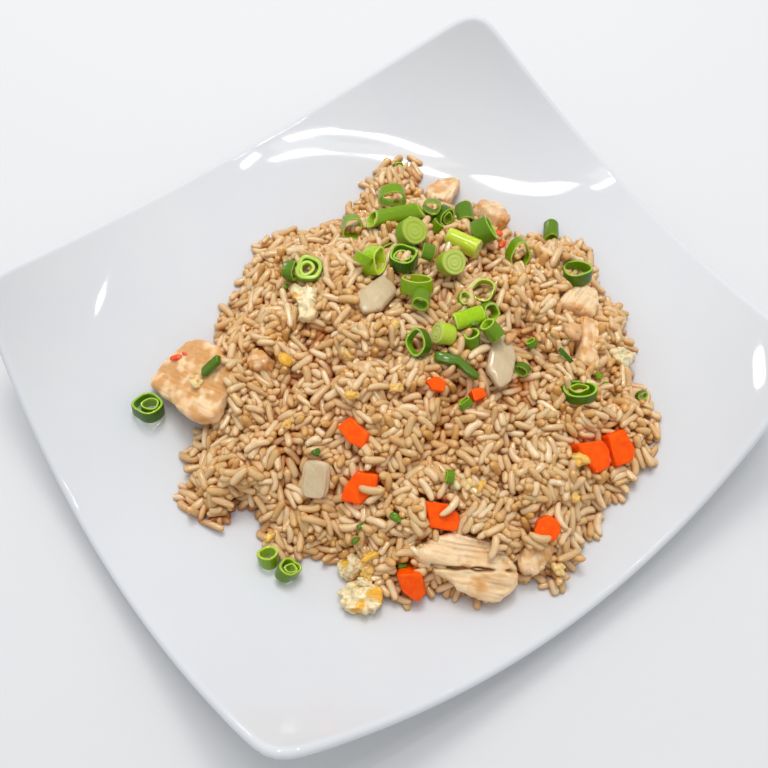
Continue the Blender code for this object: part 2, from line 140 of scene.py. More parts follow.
# %% Noise
def lattice(cells, seed):
    """A repeatable random number from -1 to 1 for each whole-numbered cell (n, 3)."""
    mixed = np.zeros(cells.shape[:-1], np.uint64) + np.uint64(seed * 2654435761 % 2**32)
    for axis, prime in enumerate((73856093, 19349663, 83492791)):
        mixed ^= (cells[..., axis] + 100000).astype(np.uint64) * np.uint64(prime)
        mixed = (mixed ^ (mixed >> np.uint64(13))) * np.uint64(1274126177) % np.uint64(2**32)
    return (mixed >> np.uint64(8)).astype(float) / 2**23 - 1


def noise(points, size, seed=1):
    """Smooth noise from -1 to 1 whose lumps are about size across (a number or one per axis)."""
    scaled = np.asarray(points) / size
    low = np.floor(scaled)
    part = scaled - low
    part = part * part * (3 - 2 * part)
    low = low.astype(np.int64)
    total = 0
    for dx in (0, 1):
        for dy in (0, 1):
            for dz in (0, 1):
                step = np.array([dx, dy, dz])
                weight = np.prod(np.where(step == 1, part, 1 - part), axis=-1)
                total = total + weight * lattice(low + step, seed)
    return total


def noise_2d(x, y, size, seed=1):
    """The same noise over a plan."""
    return noise(np.stack([x, y, np.full_like(x, 0.37 * size)], axis=-1), size, seed)


# %% [markdown]
# ## Surface effects shared by several materials
#
# Each effect is a node group with named sockets, so that one tool serves all foods. It puts
# out masks and heights only. The shader stays in each material.


# %% Node groups and material helpers
def new_group(name, sockets_in, sockets_out):
    group = bpy.data.node_groups.new(name, "ShaderNodeTree")
    for socket, kind, value in sockets_in:
        made = group.interface.new_socket(socket, in_out="INPUT", socket_type=kind)
        made.default_value = value
    for socket, kind in sockets_out:
        group.interface.new_socket(socket, in_out="OUTPUT", socket_type=kind)
    return group, group.nodes.new("NodeGroupInput"), group.nodes.new("NodeGroupOutput")


def place_node(tree, kind, values=None, **settings):
    """A node with its settings, its input values and links (a socket links, the rest is set)."""
    node = tree.nodes.new(kind)
    for key, value in settings.items():
        setattr(node, key, value)
    for key, value in (values or {}).items():
        if isinstance(value, bpy.types.NodeSocket):
            tree.links.new(value, node.inputs[key])
        else:
            node.inputs[key].default_value = value
    return node


def colour(hex_code):
    """Linear colour from the usual six-digit notation."""
    parts = [int(hex_code[k:k + 2], 16) / 255 for k in (0, 2, 4)]
    return (*[c / 12.92 if c <= 0.04045 else ((c + 0.055) / 1.055) ** 2.4 for c in parts], 1)


def mottle_group():
    """Patches of two sizes: Mask runs from 0 to 1, with Share of the surface covered."""
    group, given, result = new_group(
        "mottle", [("Vector", "NodeSocketVector", (0, 0, 0)), ("Scale", "NodeSocketFloat", 100),
                   ("Share", "NodeSocketFloat", 0.5), ("Softness", "NodeSocketFloat", 0.15)],
        [("Mask", "NodeSocketFloat")])
    cloud = place_node(group, "ShaderNodeTexNoise",
                       {"Vector": given.outputs["Vector"], "Scale": given.outputs["Scale"],
                        "Detail": 3, "Roughness": 0.6})
    # Noise gathers round a half, so the share is turned into a threshold about there.
    middle = place_node(group, "ShaderNodeMapRange",
                        {"Value": given.outputs["Share"], "To Min": 0.68, "To Max": 0.32})
    low = place_node(group, "ShaderNodeMath", {0: middle.outputs[0], 1: given.outputs["Softness"]},
                     operation="SUBTRACT")
    high = place_node(group, "ShaderNodeMath", {0: middle.outputs[0], 1: given.outputs["Softness"]},
                      operation="ADD")
    mask = place_node(group, "ShaderNodeMapRange",
                      {"Value": cloud.outputs["Fac"], "From Min": low.outputs[0],
                       "From Max": high.outputs[0]}, interpolation_type="SMOOTHSTEP")
    group.links.new(mask.outputs[0], result.inputs["Mask"])
    return group


def relief_group():
    """Fine wet relief for a bump: two noises of unlike size, as a height about 0.5."""
    group, given, result = new_group(
        "fine_relief", [("Vector", "NodeSocketVector", (0, 0, 0)),
                        ("Scale", "NodeSocketFloat", 600), ("Grit", "NodeSocketFloat", 0.4)],
        [("Height", "NodeSocketFloat")])
    broad = place_node(group, "ShaderNodeTexNoise",
                       {"Vector": given.outputs["Vector"], "Scale": given.outputs["Scale"],
                        "Detail": 2})
    finer = place_node(group, "ShaderNodeMath", {0: given.outputs["Scale"], 1: 3.7},
                       operation="MULTIPLY")
    grit = place_node(group, "ShaderNodeTexNoise",
                      {"Vector": given.outputs["Vector"], "Scale": finer.outputs[0], "Detail": 1})
    mixed = place_node(group, "ShaderNodeMix",
                       {"Factor": given.outputs["Grit"], "A": broad.outputs["Fac"],
                        "B": grit.outputs["Fac"]}, data_type="FLOAT")
    group.links.new(mixed.outputs[0], result.inputs["Height"])
    return group


MOTTLE = mottle_group()
RELIEF = relief_group()


class Look:
    """A material under construction: its tree, its shader and short ways to add nodes."""

    def __init__(self, name, settings):
        self.material = bpy.data.materials.new(name)
        self.material.use_nodes = True
        self.tree = self.material.node_tree
        self.shader = self.tree.nodes["Principled BSDF"]
        for key, value in settings.items():
            self.shader.inputs[key].default_value = value
        self.place = place_node(self.tree, "ShaderNodeTexCoord").outputs["Object"]

    def attribute(self, name):
        return place_node(self.tree, "ShaderNodeAttribute", attribute_name=name).outputs["Fac"]

    def mottle(self, scale, share, softness=0.15, vector=None):
        node = place_node(self.tree, "ShaderNodeGroup", node_tree=MOTTLE)
        for key, value in (("Scale", scale), ("Share", share), ("Softness", softness)):
            node.inputs[key].default_value = value
        self.tree.links.new(vector or self.place, node.inputs["Vector"])
        return node.outputs["Mask"]

    def stretched(self, scale, turn=(0, 0, 0)):
        node = place_node(self.tree, "ShaderNodeMapping", {"Vector": self.place})
        node.inputs["Scale"].default_value = scale
        node.inputs["Rotation"].default_value = turn
        return node.outputs["Vector"]

    def mix(self, factor, first, second):
        node = place_node(self.tree, "ShaderNodeMix", data_type="RGBA")
        for socket, value in ((node.inputs["Factor"], factor), (node.inputs[6], first),
                              (node.inputs[7], second)):
            if isinstance(value, bpy.types.NodeSocket):
                self.tree.links.new(value, socket)
            else:
                socket.default_value = value
        return node.outputs[2]

    def sum(self, first, second, operation="MULTIPLY"):
        node = place_node(self.tree, "ShaderNodeMath", {0: first, 1: second}, operation=operation)
        return node.outputs[0]

    def ranged(self, value, low, high):
        node = place_node(self.tree, "ShaderNodeMapRange", {"Value": value, "To Min": low,
                                                            "To Max": high})
        return node.outputs[0]

    def feed(self, socket, value):
        self.tree.links.new(value, self.shader.inputs[socket])

    def bump(self, scale, grit=0.4, depth=0.1 * MM, strength=0.6, vector=None):
        node = place_node(self.tree, "ShaderNodeGroup", node_tree=RELIEF)
        node.inputs["Scale"].default_value = scale
        node.inputs["Grit"].default_value = grit
        self.tree.links.new(vector or self.place, node.inputs["Vector"])
        bump = place_node(self.tree, "ShaderNodeBump", {"Height": node.outputs["Height"],
                                                        "Strength": strength, "Distance": depth})
        self.feed("Normal", bump.outputs["Normal"])


print("node groups:", MOTTLE.name, RELIEF.name)

# %% [markdown]
# ## The plate
#
# A coupe plate has no separate rim: the well rises in one sweep to its edge, here most of
# all in the four corners. Square coordinates u and v from side to side make that shape
# simple. The sides bow outward by a share of 1 - v², and the height is a power of the level
# plus a term in (u v)² that only the corners feel. The real edge is a soft roll of glaze
# over the full wall, so the skin is carried round a half circle there, then back underneath
# to the ring that the plate stands on.

# %% Plate shape
CORNER_X, CORNER_Y = 128 * MM, 109 * MM
BOW_X, BOW_Y = 0.143, 0.220
CORNER_POWER = 36
WELL_Z, RIM_Z, CORNER_RISE = 7.5 * MM, 20 * MM, 41.5 * MM
WALL = 4.5 * MM
FOOT_RADIUS, FOOT_WIDTH = 62 * MM, 5 * MM


def plate_plan(u, v):
    """Plan position of plate coordinates: each side bows out by 1 minus the other squared."""
    return (CORNER_X * u * (1 + BOW_X * (1 - v * v)),
            CORNER_Y * v * (1 + BOW_Y * (1 - u * u)))


def plate_coordinates(x, y):
    """The inverse of plate_plan, found by repeating it until it settles."""
    u, v = x / CORNER_X, y / CORNER_Y
    for _ in range(25):
        u, v = (x / (CORNER_X * (1 + BOW_X * (1 - np.clip(v, -1, 1) ** 2))),
                y / (CORNER_Y * (1 + BOW_Y * (1 - np.clip(u, -1, 1) ** 2))))
    return u, v


def plate_height(u, v):
    """Flat in the middle, the rim height at the sides, and higher by (u v)² at the corners."""
    level = u * u + v * v - u * u * v * v
    return WELL_Z + (RIM_Z - WELL_Z) * level ** 2 + CORNER_RISE * (u * v) ** 2


def plate_top(x, y):
    u, v = plate_coordinates(x, y)
    return plate_height(np.clip(u, -1, 1), np.clip(v, -1, 1))


def grid_normals(grid):
    """Unit normals of a grid of points (rows, columns, 3) that closes round its columns."""
    down = np.gradient(grid, axis=0)
    around = np.roll(grid, -1, axis=1) - np.roll(grid, 1, axis=1)
    return unit(np.cross(down, around))


PLATE_SIDES = 288


def plate_skin():
    """Rings from the middle of the well over the edge and back to the middle underneath."""
    turn = np.arange(PLATE_SIDES) / PLATE_SIDES * math.tau
    # More directions near the tight corners, where a ring bends most.
    turn = turn - 0.2 * np.sin(4 * turn) / 4 * -1
    cosine, sine = np.cos(turn), np.sin(turn)
    reach = (np.abs(cosine) ** CORNER_POWER + np.abs(sine) ** CORNER_POWER) ** (-1 / CORNER_POWER)
    edge_u, edge_v = cosine * reach, sine * reach
    edge = 1 - WALL / 2 / (CORNER_X + CORNER_Y) * 2
    share = np.concatenate([np.linspace(0.02, 0.9, 44), np.linspace(0.91, edge, 16)])[:, None]
    u, v = share * edge_u, share * edge_v
    x, y = plate_plan(u, v)
    top = np.stack([x, y, plate_height(u, v)], axis=-1)
    normal = grid_normals(top)
    rim, rim_normal = top[-1], unit(normal[-1])
    along = np.roll(rim, -1, axis=0) - np.roll(rim, 1, axis=0)
    outward = unit(np.cross(along, rim_normal))
    roll = np.linspace(0, math.pi, 14)[1:-1, None, None]
    lip = rim - rim_normal * WALL / 2 + WALL / 2 * (np.cos(roll) * rim_normal
                                                     + np.sin(roll) * outward)
    # Underneath, the rings turn from the plate's outline into the round foot.
    below = top[::-1] - normal[::-1] * WALL
    foot_outer = FOOT_RADIUS + FOOT_WIDTH / 2
    radius = np.hypot(below[..., 0], below[..., 1])
    keep = radius.min(axis=1) > foot_outer * 1.12
    under = below[keep]

    def circle(size, height=None):
        cx, cy = size * np.cos(turn), size * np.sin(turn)
        z = np.full(len(turn), height) if height is not None else plate_top(cx, cy) - WALL
        return np.stack([cx, cy, z], axis=-1)

    soft = 0.8 * MM
    inner = FOOT_RADIUS - FOOT_WIDTH / 2
    foot = [circle(foot_outer + 1.5 * soft), circle(foot_outer, 1.6 * MM),
            circle(foot_outer, soft), circle(foot_outer - 0.3 * soft, 0.3 * soft),
            circle(foot_outer - soft, 0), circle(inner + soft, 0),
            circle(inner + 0.3 * soft, 0.3 * soft), circle(inner, soft), circle(inner, 1.6 * MM),
            circle(inner - 1.5 * soft)]
    foot += [circle(inner * part) for part in (0.8, 0.6, 0.4, 0.2, 0.05)]
    rings = np.concatenate([top, lip, under, np.stack(foot)])
    return closed_skin(rings, (0, 0, WELL_Z), (0, 0, WELL_Z - WALL))


def porcelain():
    """White glaze: bright, faintly blue, almost mirror smooth, with a slight waviness."""
    look = Look("glazed_porcelain", {"Roughness": 0.05, "IOR": 1.5})
    patches = look.mottle(22, 0.5, 0.4)
    look.feed("Base Color", look.mix(patches, colour("DCDDE0"), colour("E0E1E2")))
    look.bump(35, grit=0.15, depth=0.05 * MM, strength=0.12)
    return look.material


plate_points, plate_faces = plate_skin()
plate = add_piece("porcelain_plate", plate_points, plate_faces, porcelain(),
                  ["plate"])
print("plate:", len(plate_points), "points")

# %% [markdown]
# ## The heap of rice
#
# The heap is a dome over the plate with lobes where spoonfuls slid outward. Fried rice is
# only grains: nobody sees a surface, but a layer some five grains deep with dark gaps. So the
# dome is drawn in twice, as the height that the grains reach and, 6 mm lower, as a core that
# carries them.

# %% Heap shape
HEAP_X, HEAP_Y = 6 * MM, -15 * MM
HEAP_RADIUS, HEAP_HEIGHT, HEAP_EDGE = 97 * MM, 40 * MM, 3.5 * MM
LUMP_HEIGHT = 3 * MM
LAYER = 6 * MM                  # depth of the loose grains over the core
CORE_SHARE = 0.93               # how far toward the heap's edge the core goes
# Lobes: direction in degrees, extra reach in mm, half width in degrees.
LOBES = ((5, 10, 6), (25, -6, 6), (60, 20, 7), (97, 6, 6), (163, 10, 4),
         (175, 21, 8), (-150, -6, 10), (-93, 7, 5), (-52, 6, 7))
# Lumps: wavelength in mm, direction in degrees, phase in radians.
LUMP_WAVES = ((31, 20, 0.3), (27, 95, 1.9), (22, 150, 4.0), (18, 60, 2.2), (15.5, 125, 5.1))


def heap_reach(angle):
    """Distance from the heap's middle to its edge: a circle plus a bump for every lobe."""
    reach = np.full(np.shape(angle), HEAP_RADIUS)
    for direction, extra, width in LOBES:
        offset = (angle - direction + 180) % 360 - 180
        reach = reach + extra * MM * np.exp(-(offset / width) ** 4)
    return reach


def heap_fraction(x, y):
    """0 at the heap's middle, 1 at its edge."""
    dx, dy = x - HEAP_X, y - HEAP_Y
    return np.hypot(dx, dy) / heap_reach(np.degrees(np.arctan2(dy, dx)))


def heap_thickness(x, y):
    """Dome height by (1 - f²) to the power 0.75, with crossing waves as lumps."""
    fullness = np.clip(1 - heap_fraction(x, y) ** 2, 0, 1)
    lumps = sum(np.sin(math.tau * (x * math.cos(math.radians(turn)) + y * math.sin(math.radians(turn)))
                       / (length * MM) + phase) for length, turn, phase in LUMP_WAVES)
    rice = HEAP_EDGE + (HEAP_HEIGHT - HEAP_EDGE) * fullness ** 0.75
    rice = rice + LUMP_HEIGHT * lumps / len(LUMP_WAVES) * fullness ** 0.35
    return np.where(fullness > 0, rice, 0)


class Terrain:
    """A height read off a 1 mm raster, with its slope, so that it is quick to ask for."""

    def __init__(self, height, cell=1 * MM, reach=150 * MM):
        self.cell, self.reach = cell, reach
        steps = np.arange(-reach, reach + cell / 2, cell)
        x, y = np.meshgrid(steps, steps, indexing="ij")
        self.z = height(x, y)
        slope_x, slope_y = np.gradient(self.z, cell)
        self.normal = unit(np.stack([-slope_x, -slope_y, np.ones_like(slope_x)], axis=-1))

    def weights(self, x, y):
        gx, gy = ((np.clip(c, -self.reach, self.reach * 0.999) + self.reach) / self.cell
                  for c in (x, y))
        i, j = gx.astype(int), gy.astype(int)
        return i, j, gx - i, gy - j

    def read(self, values, x, y):
        """Bilinear blend of the four raster points about (x, y)."""
        i, j, a, b = self.weights(x, y)
        if values.ndim == 3:
            a, b = a[..., None], b[..., None]
        return ((values[i, j] * (1 - a) + values[i + 1, j] * a) * (1 - b)
                + (values[i, j + 1] * (1 - a) + values[i + 1, j + 1] * a) * b)

    def height(self, x, y):
        return self.read(self.z, x, y)

    def up(self, x, y):
        return unit(self.read(self.normal, x, y))


# Hollows between the lumps: x, y and radius in mm.
HOLLOWS = ((-57, 9, 6), (12, -14, 6), (3, -6, 5), (85, -30, 5), (-17, -26, 5), (-30, 22, 5),
           (28, 34, 5), (-22, -66, 5), (70, 28, 5), (58, -72, 5))


def lump_map(x, y, count=170, seed=21):
    """Sticky rice breaks into rounded lumps: the highest of many domes h (1 - d²/r²).

    Each hollow takes 4 mm exp(-d²/r²) away.
    """
    rng = np.random.default_rng(seed)
    angle, share = rng.uniform(0, math.tau, count), rng.random(count) ** 0.5
    spot_x = HEAP_X + share * 118 * MM * np.cos(angle)
    spot_y = HEAP_Y + share * 118 * MM * np.sin(angle)
    radius, height = rng.uniform(8, 14, count) * MM, rng.uniform(3.5, 9, count) * MM
    lumps = np.zeros(np.shape(x))
    for px, py, r, h in zip(spot_x, spot_y, radius, height):
        lumps = np.maximum(lumps, h * (1 - ((x - px) ** 2 + (y - py) ** 2) / r ** 2))
    for px, py, r in HOLLOWS:
        apart = (x - px * MM) ** 2 + (y - py * MM) ** 2
        lumps = lumps - 4 * MM * np.exp(-apart / (r * MM) ** 2)
    return lumps - 4.6 * MM


# Spots by the heap's edge that stayed bare: x, y and radius in mm.
BARE = ((76, 70, 9), (67, 68, 5), (-90, -21, 8), (-46, -95, 7), (-40, -101, 7), (-60, -86, 4),
        (104, -32, 6), (36, -105, 5), (53, -104, 7), (4, -119, 6))


def core_thickness(x, y):
    """The heap less the loose layer, lumpy, and ending short of the heap's edge."""
    edge = np.clip((CORE_SHARE - heap_fraction(x, y)) / 0.08, 0, 1)
    for bare_x, bare_y, radius in BARE:
        away = np.hypot(x - bare_x * MM, y - bare_y * MM) / MM - radius
        edge = edge * np.clip((away - 1) / 5, 0, 1)
    return np.maximum(heap_thickness(x, y) - LAYER + clumps(x, y), 0) * edge


lump_terrain = Terrain(lump_map)
clumps = lump_terrain.height
plate_terrain = Terrain(plate_top)
rice_terrain = Terrain(lambda x, y: plate_top(x, y) + heap_thickness(x, y))
core_terrain = Terrain(lambda x, y: plate_top(x, y) + core_thickness(x, y))


def rice_core():
    """Rings from the heap's middle to where the core runs out, and back along the plate."""
    turn = np.arange(240) / 240 * math.tau
    share = np.linspace(0.02, CORE_SHARE, 70)[:, None]
    reach = heap_reach(np.degrees((turn + math.pi) % math.tau - math.pi))
    x, y = (HEAP_X + share * reach * np.cos(turn), HEAP_Y + share * reach * np.sin(turn))
    relief = 0.8 * MM * noise_2d(x, y, 2.6 * MM, 8) + 0.5 * MM * noise_2d(x, y, 1.4 * MM, 9)
    thick = core_thickness(x, y)
    # Where the core runs out it dips just under the glaze, so that no film of it shows.
    thick = thick - 0.4 * MM * np.clip(1 - thick / MM, 0, 1) + np.minimum(thick / LAYER, 1) * relief
    upper = np.stack([x, y, plate_top(x, y) + thick], axis=-1)
    lower = np.stack([x, y, plate_top(x, y) - 0.6 * MM], axis=-1)[::-1][::3]
    rings = np.concatenate([upper, lower])
    middle = float(plate_top(np.array(HEAP_X), np.array(HEAP_Y)))
    top = float(core_terrain.height(np.array([HEAP_X]), np.array([HEAP_Y]))[0])
    return closed_skin(rings, (HEAP_X, HEAP_Y, top), (HEAP_X, HEAP_Y, middle))


# %% [markdown]
# ### Packing the grains
#
# Grains strewn at random would cut through each other. A short settling puts that right:
# each grain is a stiff row of four beads. In every round, beads that overlap push apart,
# beads in the core, the plate or a topping are pushed out, and all are drawn down a little.
# Then each row is made straight again. Neighbours are found by sorting the beads into cubes.


# %% Settling
BEADS = 4
BEAD_RADIUS = 1.2 * MM


def near_pairs(points, others, reach):
    """Index pairs of points and others that lie within reach of each other."""
    low = np.minimum(points.min(axis=0), others.min(axis=0)) - reach

    def cube(p):
        cell = ((p - low) / reach).astype(np.int64)
        return (cell[:, 0] * 4096 + cell[:, 1]) * 4096 + cell[:, 2]

    keys = cube(others)
    order = np.argsort(keys, kind="stable")
    keys = keys[order]
    home = cube(points)
    found = []
    for dx in (-1, 0, 1):
        for dy in (-1, 0, 1):
            first = np.searchsorted(keys, home + (dx * 4096 + dy) * 4096 - 1, "left")
            past = np.searchsorted(keys, home + (dx * 4096 + dy) * 4096 + 1, "right")
            count = past - first
            i = np.repeat(np.arange(len(points)), count)
            within = np.arange(count.sum()) - np.repeat(np.cumsum(count) - count, count)
            found.append(np.stack([i, order[np.repeat(first, count) + within]]))
    i, j = np.concatenate(found, axis=1)
    close = ((points[i] - others[j]) ** 2).sum(axis=1) < reach * reach
    return i[close], j[close]


def gather(index, pushes, count):
    """Sum of the pushes that each bead gets."""
    return np.stack([np.bincount(index, pushes[:, axis], count) for axis in range(3)], axis=1)


def settle(centre, axis, length, obstacles, rounds=70, pull=0.09 * MM):
    """Lets grains (centres, directions, lengths) sink onto the core without overlapping."""
    spread = np.linspace(-1, 1, BEADS) * (length[:, None] / 2 - BEAD_RADIUS)
    grain = np.repeat(np.arange(len(centre)), BEADS)
    total = len(grain)
    for turn in range(rounds):
        beads = (centre[:, None] + axis[:, None] * spread[..., None]).reshape(-1, 3)
        if turn % 5 == 0:
            i, j = near_pairs(beads, beads, 2 * BEAD_RADIUS + 0.8 * MM)
            other = grain[i] < grain[j]
            i, j = i[other], j[other]
            k, fixed = near_pairs(beads, obstacles, BEAD_RADIUS + 1.0 * MM)
        up = core_terrain.up(beads[:, 0], beads[:, 1])
        strength = pull if turn < rounds - 12 else 0
        beads = beads - up * strength
        for _ in range(2):
            apart = beads[i] - beads[j]
            gap = np.linalg.norm(apart, axis=1)
            push = (np.clip(2 * BEAD_RADIUS - gap, 0, None) / (2 * gap + 1e-9))[:, None] * apart
            touch = (gap < 2 * BEAD_RADIUS).astype(float)
            meets = np.bincount(i, touch, total) + np.bincount(j, touch, total)
            move = gather(i, push, total) - gather(j, push, total)
            beads = beads + move / np.maximum(meets, 1)[:, None] * 1.4
        apart = beads[k] - obstacles[fixed]
        gap = np.linalg.norm(apart, axis=1)
        push = (np.clip(BEAD_RADIUS + 0.3 * MM - gap, 0, None) / (gap + 1e-9))[:, None] * apart
        touch = np.bincount(k, (gap < BEAD_RADIUS + 0.3 * MM).astype(float), total)
        beads = beads + gather(k, push, total) / np.maximum(touch, 1)[:, None]
        depth = (beads[:, 2] - core_terrain.height(beads[:, 0], beads[:, 1])) * up[:, 2] - BEAD_RADIUS
        beads = beads - up * np.minimum(depth, 0)[:, None]
        row = beads.reshape(-1, BEADS, 3)
        centre = row.mean(axis=1)
        axis = unit((row * spread[..., None]).sum(axis=1))
    return centre, axis


def solid_mesh(node):
    """Points and triangles of a solid."""
    mesh = bpy.data.objects[node].data
    mesh.calc_loop_triangles()
    points = np.empty(len(mesh.vertices) * 3, np.float32)
    mesh.vertices.foreach_get("co", points)
    triangles = np.empty(len(mesh.loop_triangles) * 3, np.int32)
    mesh.loop_triangles.foreach_get("vertices", triangles)
    return points.reshape(-1, 3).astype(float), triangles.reshape(-1, 3)


def skin_samples(node, spacing=1.0 * MM):
    """Points spread evenly over a solid's surface, about one to each spacing squared."""
    points, triangles = solid_mesh(node)
    a, b, c = points[triangles].transpose(1, 0, 2)
    area = np.linalg.norm(np.cross(b - a, c - a), axis=1) / 2
    rng = np.random.default_rng(len(points))
    pick = np.repeat(np.arange(len(area)), rng.poisson(area / spacing ** 2 + 0.3))
    s, t = rng.random((2, len(pick), 1))
    s, t = np.where(s + t > 1, 1 - s, s), np.where(s + t > 1, 1 - t, t)
    return a[pick] + s * (b - a)[pick] + t * (c - a)[pick]


toppings = [node for node in nodes if node not in ("plate", "rice_heap")]
skins = [skin_samples(node) for node in toppings]
obstacles = np.concatenate(skins)
print("obstacle points:", len(obstacles))


class TopMap:
    """Highest of some points over a fine raster, to ask what lies on top at (x, y)."""

    def __init__(self, points, cell=0.8 * MM, reach=150 * MM):
        self.cell, self.reach = cell, reach
        size = int(2 * reach / cell) + 3
        tops = np.full((size, size), -1.0)
        np.maximum.at(tops, self.index(points[:, 0], points[:, 1]), points[:, 2])
        # Each cell also takes the height of its neighbours, which closes pinholes; the inner
        # raster then loses its rim again.
        shifts = [(i, j) for i in (-1, 0, 1) for j in (-1, 0, 1)]
        self.tops = np.maximum.reduce([np.roll(tops, shift, (0, 1)) for shift in shifts])
        self.inner = np.minimum.reduce([np.roll(self.tops, shift, (0, 1)) for shift in shifts])

    def index(self, x, y):
        limit = int(2 * self.reach / self.cell)
        return tuple(np.clip(((c + self.reach) / self.cell).astype(int), 0, limit) for c in (x, y))

    def top(self, x, y):
        return self.tops[self.index(x, y)]


topping_tops = TopMap(obstacles)
# Large toppings keep a few stray grains on them, the small ones are kept clear.
ROOMY = ("carrot", "chicken_front", "chicken_left")
small_tops = TopMap(np.concatenate([skin for node, skin in zip(toppings, skins)
                                    if not node.startswith(ROOMY)]))
# Spots where the rice spills over a topping: x, y and radius in mm.
SPILLS = ((-32, -21, 3), (-46, -47, 2), (-23, -71, 2), (-16, -92, 6), (-54, 38, 5), (-60, 30, 6), (-65, 22, 6), (-73, 16, 5), (-12, -97, 7), (-5, -98, 5),
          (74, -54, 5), (70, -20, 4))


def strewn(count, rng):
    """Grains strewn through the loose layer, most of them lying along its surface."""
    tries = count * 5
    x, y = (rng.uniform(-1, 1, tries) * 125 * MM + middle for middle in (HEAP_X, HEAP_Y))
    inside = heap_fraction(x, y) < 0.965 + 0.06 * noise_2d(x, y, 9 * MM, 15)
    for bare_x, bare_y, radius in BARE:
        inside &= np.hypot(x - bare_x * MM, y - bare_y * MM) > radius * MM
    x, y = x[inside], y[inside]
    bottom = core_terrain.height(x, y)
    surface = rice_terrain.height(x, y) + clumps(x, y)
    # A slanting stretch of the layer holds more grains than its plan shows.
    chance = (surface - bottom) / (1.6 * LAYER) / core_terrain.up(x, y)[:, 2]
    # Lumps of rice hold more grains than the creases between them.
    chance = chance * np.clip(1 + 0.08 * clumps(x, y) / MM, 0.5, 1.4)
    kept = np.flatnonzero(rng.random(len(x)) < chance)[:count]
    x, y, bottom, surface = x[kept], y[kept], bottom[kept], surface[kept]
    z = bottom + (surface - bottom) * rng.random(len(x)) + 0.5 * MM
    up = core_terrain.up(x, y)
    # Neighbours share a direction loosely, as grains do that were pressed by a spoon.
    turn = 5 * noise_2d(x, y, 10 * MM, 6) + rng.normal(0, 0.7, len(x))
    level = np.stack([np.cos(turn), np.sin(turn), np.zeros_like(turn)], axis=1)
    level = unit(level - up * (level * up).sum(axis=1)[:, None])
    lean = rng.normal(0, 0.5, len(x))[:, None]
    return np.stack([x, y, z], axis=1), unit(level * np.cos(lean) + up * np.sin(lean))


def spilled(rng):
    """Two layers of grains laid over each spill, at random turns."""
    spots = []
    for spill_x, spill_y, radius in SPILLS:
        count = max(3, int(0.22 * radius ** 2))
        angle, share = rng.uniform(0, math.tau, count), rng.random(count) ** 0.5
        x = (spill_x + radius * share * np.cos(angle)) * MM
        y = (spill_y + radius * share * np.sin(angle)) * MM
        floor = np.maximum(topping_tops.top(x, y), core_terrain.height(x, y) + LAYER)
        spots.append(np.stack([x, y, floor + rng.uniform(1, 4, count) * MM], axis=1))
    spots = np.concatenate(spots)
    turn = rng.uniform(0, math.tau, len(spots))
    return spots, unit(np.stack([np.cos(turn), np.sin(turn), rng.normal(0, 0.2, len(turn))], axis=1))


GRAINS = 4400
rng = np.random.default_rng(7)
centres, directions = (np.concatenate(pair) for pair in zip(strewn(GRAINS, rng), spilled(rng)))
lengths = np.clip(rng.normal(10, 1.1, len(centres)), 6, 12.5) * MM
lengths = np.where(rng.random(len(centres)) < 0.16, lengths * 0.6, lengths)
centres, directions = settle(centres, directions, lengths, obstacles)
print("grains settled:", len(centres))

# %% [markdown]
# Grains over a topping would hide it. A raster of the toppings' tops, seen from above,
# tells which grains came to lie there. Most of them go. A few stay on the large pieces, as
# stray grains do, and the spills stay whole.


# %% Clearing the toppings
def bead_places(centre, axis, length):
    """The middles of all beads: grain by bead by x, y, z."""
    spread = np.linspace(-1, 1, BEADS) * (length[:, None] / 2 - BEAD_RADIUS)
    return centre[:, None] + axis[:, None] * spread[..., None]


def share_over(tops, beads):
    """Share of each grain's beads that lie above the toppings of a raster."""
    covered = tops.top(beads[..., 0], beads[..., 1])
    return ((covered > 0) & (beads[..., 2] > covered - 1 * MM)).mean(axis=1)


def pokes_out(tops, beads):
    """Whether a bead lies so close under a topping's skin that it would show through it."""
    covered = tops.inner[tops.index(beads[..., 0], beads[..., 1])]
    above = beads[..., 2] - covered
    return ((covered > 0) & (above > -1.7 * MM) & (above < 0.5 * MM)).any(axis=1)


beads = bead_places(centres, directions, lengths)
above = share_over(topping_tops, beads)
chance = np.interp(above, (0.2, 0.3, 0.5, 0.75, 1), (1, 0.6, 0.3, 0.06, 0.02))
kept = rng.random(len(centres)) < chance
for spill_x, spill_y, radius in SPILLS:
    kept |= np.hypot(centres[:, 0] - spill_x * MM, centres[:, 1] - spill_y * MM) < radius * MM
kept &= (share_over(small_tops, beads) <= 0.25) & ~pokes_out(topping_tops, beads)
kept &= core_terrain.height(centres[:, 0], centres[:, 1]) > 0
centres, directions, lengths = centres[kept], directions[kept], lengths[kept]
print("grains kept:", len(centres), "cleared:", int((~kept).sum()))

# %% [markdown]
# Where the clearing or the dice left the core bare, loose grains are laid on it. A raster of
# the beads shows which spots of a jittered grid nothing covers.


# %% Covering bare spots
def patching(spacing=3 * MM):
    """Grains laid flat on the core at every spot that neither grain nor topping covers."""
    grain_tops = TopMap(bead_places(centres, directions, lengths).reshape(-1, 3), cell=1.2 * MM)
    steps = np.arange(-130 * MM, 130 * MM, spacing)
    x, y = (c.ravel() + rng.normal(0, 0.5 * MM, c.size) for c in np.meshgrid(steps, steps))
    bare = ((grain_tops.top(x, y) < 0) & (topping_tops.top(x, y) < 0)
            & (core_thickness(x, y) > 0.6 * MM))
    x, y = x[bare], y[bare]
    turn = rng.uniform(0, math.tau, len(x))
    up = core_terrain.up(x, y)
    level = np.stack([np.cos(turn), np.sin(turn), np.zeros_like(turn)], axis=1)
    spots = np.stack([x, y, core_terrain.height(x, y) + 1.6 * MM], axis=1)
    return spots, unit(level - up * (level * up).sum(axis=1)[:, None])


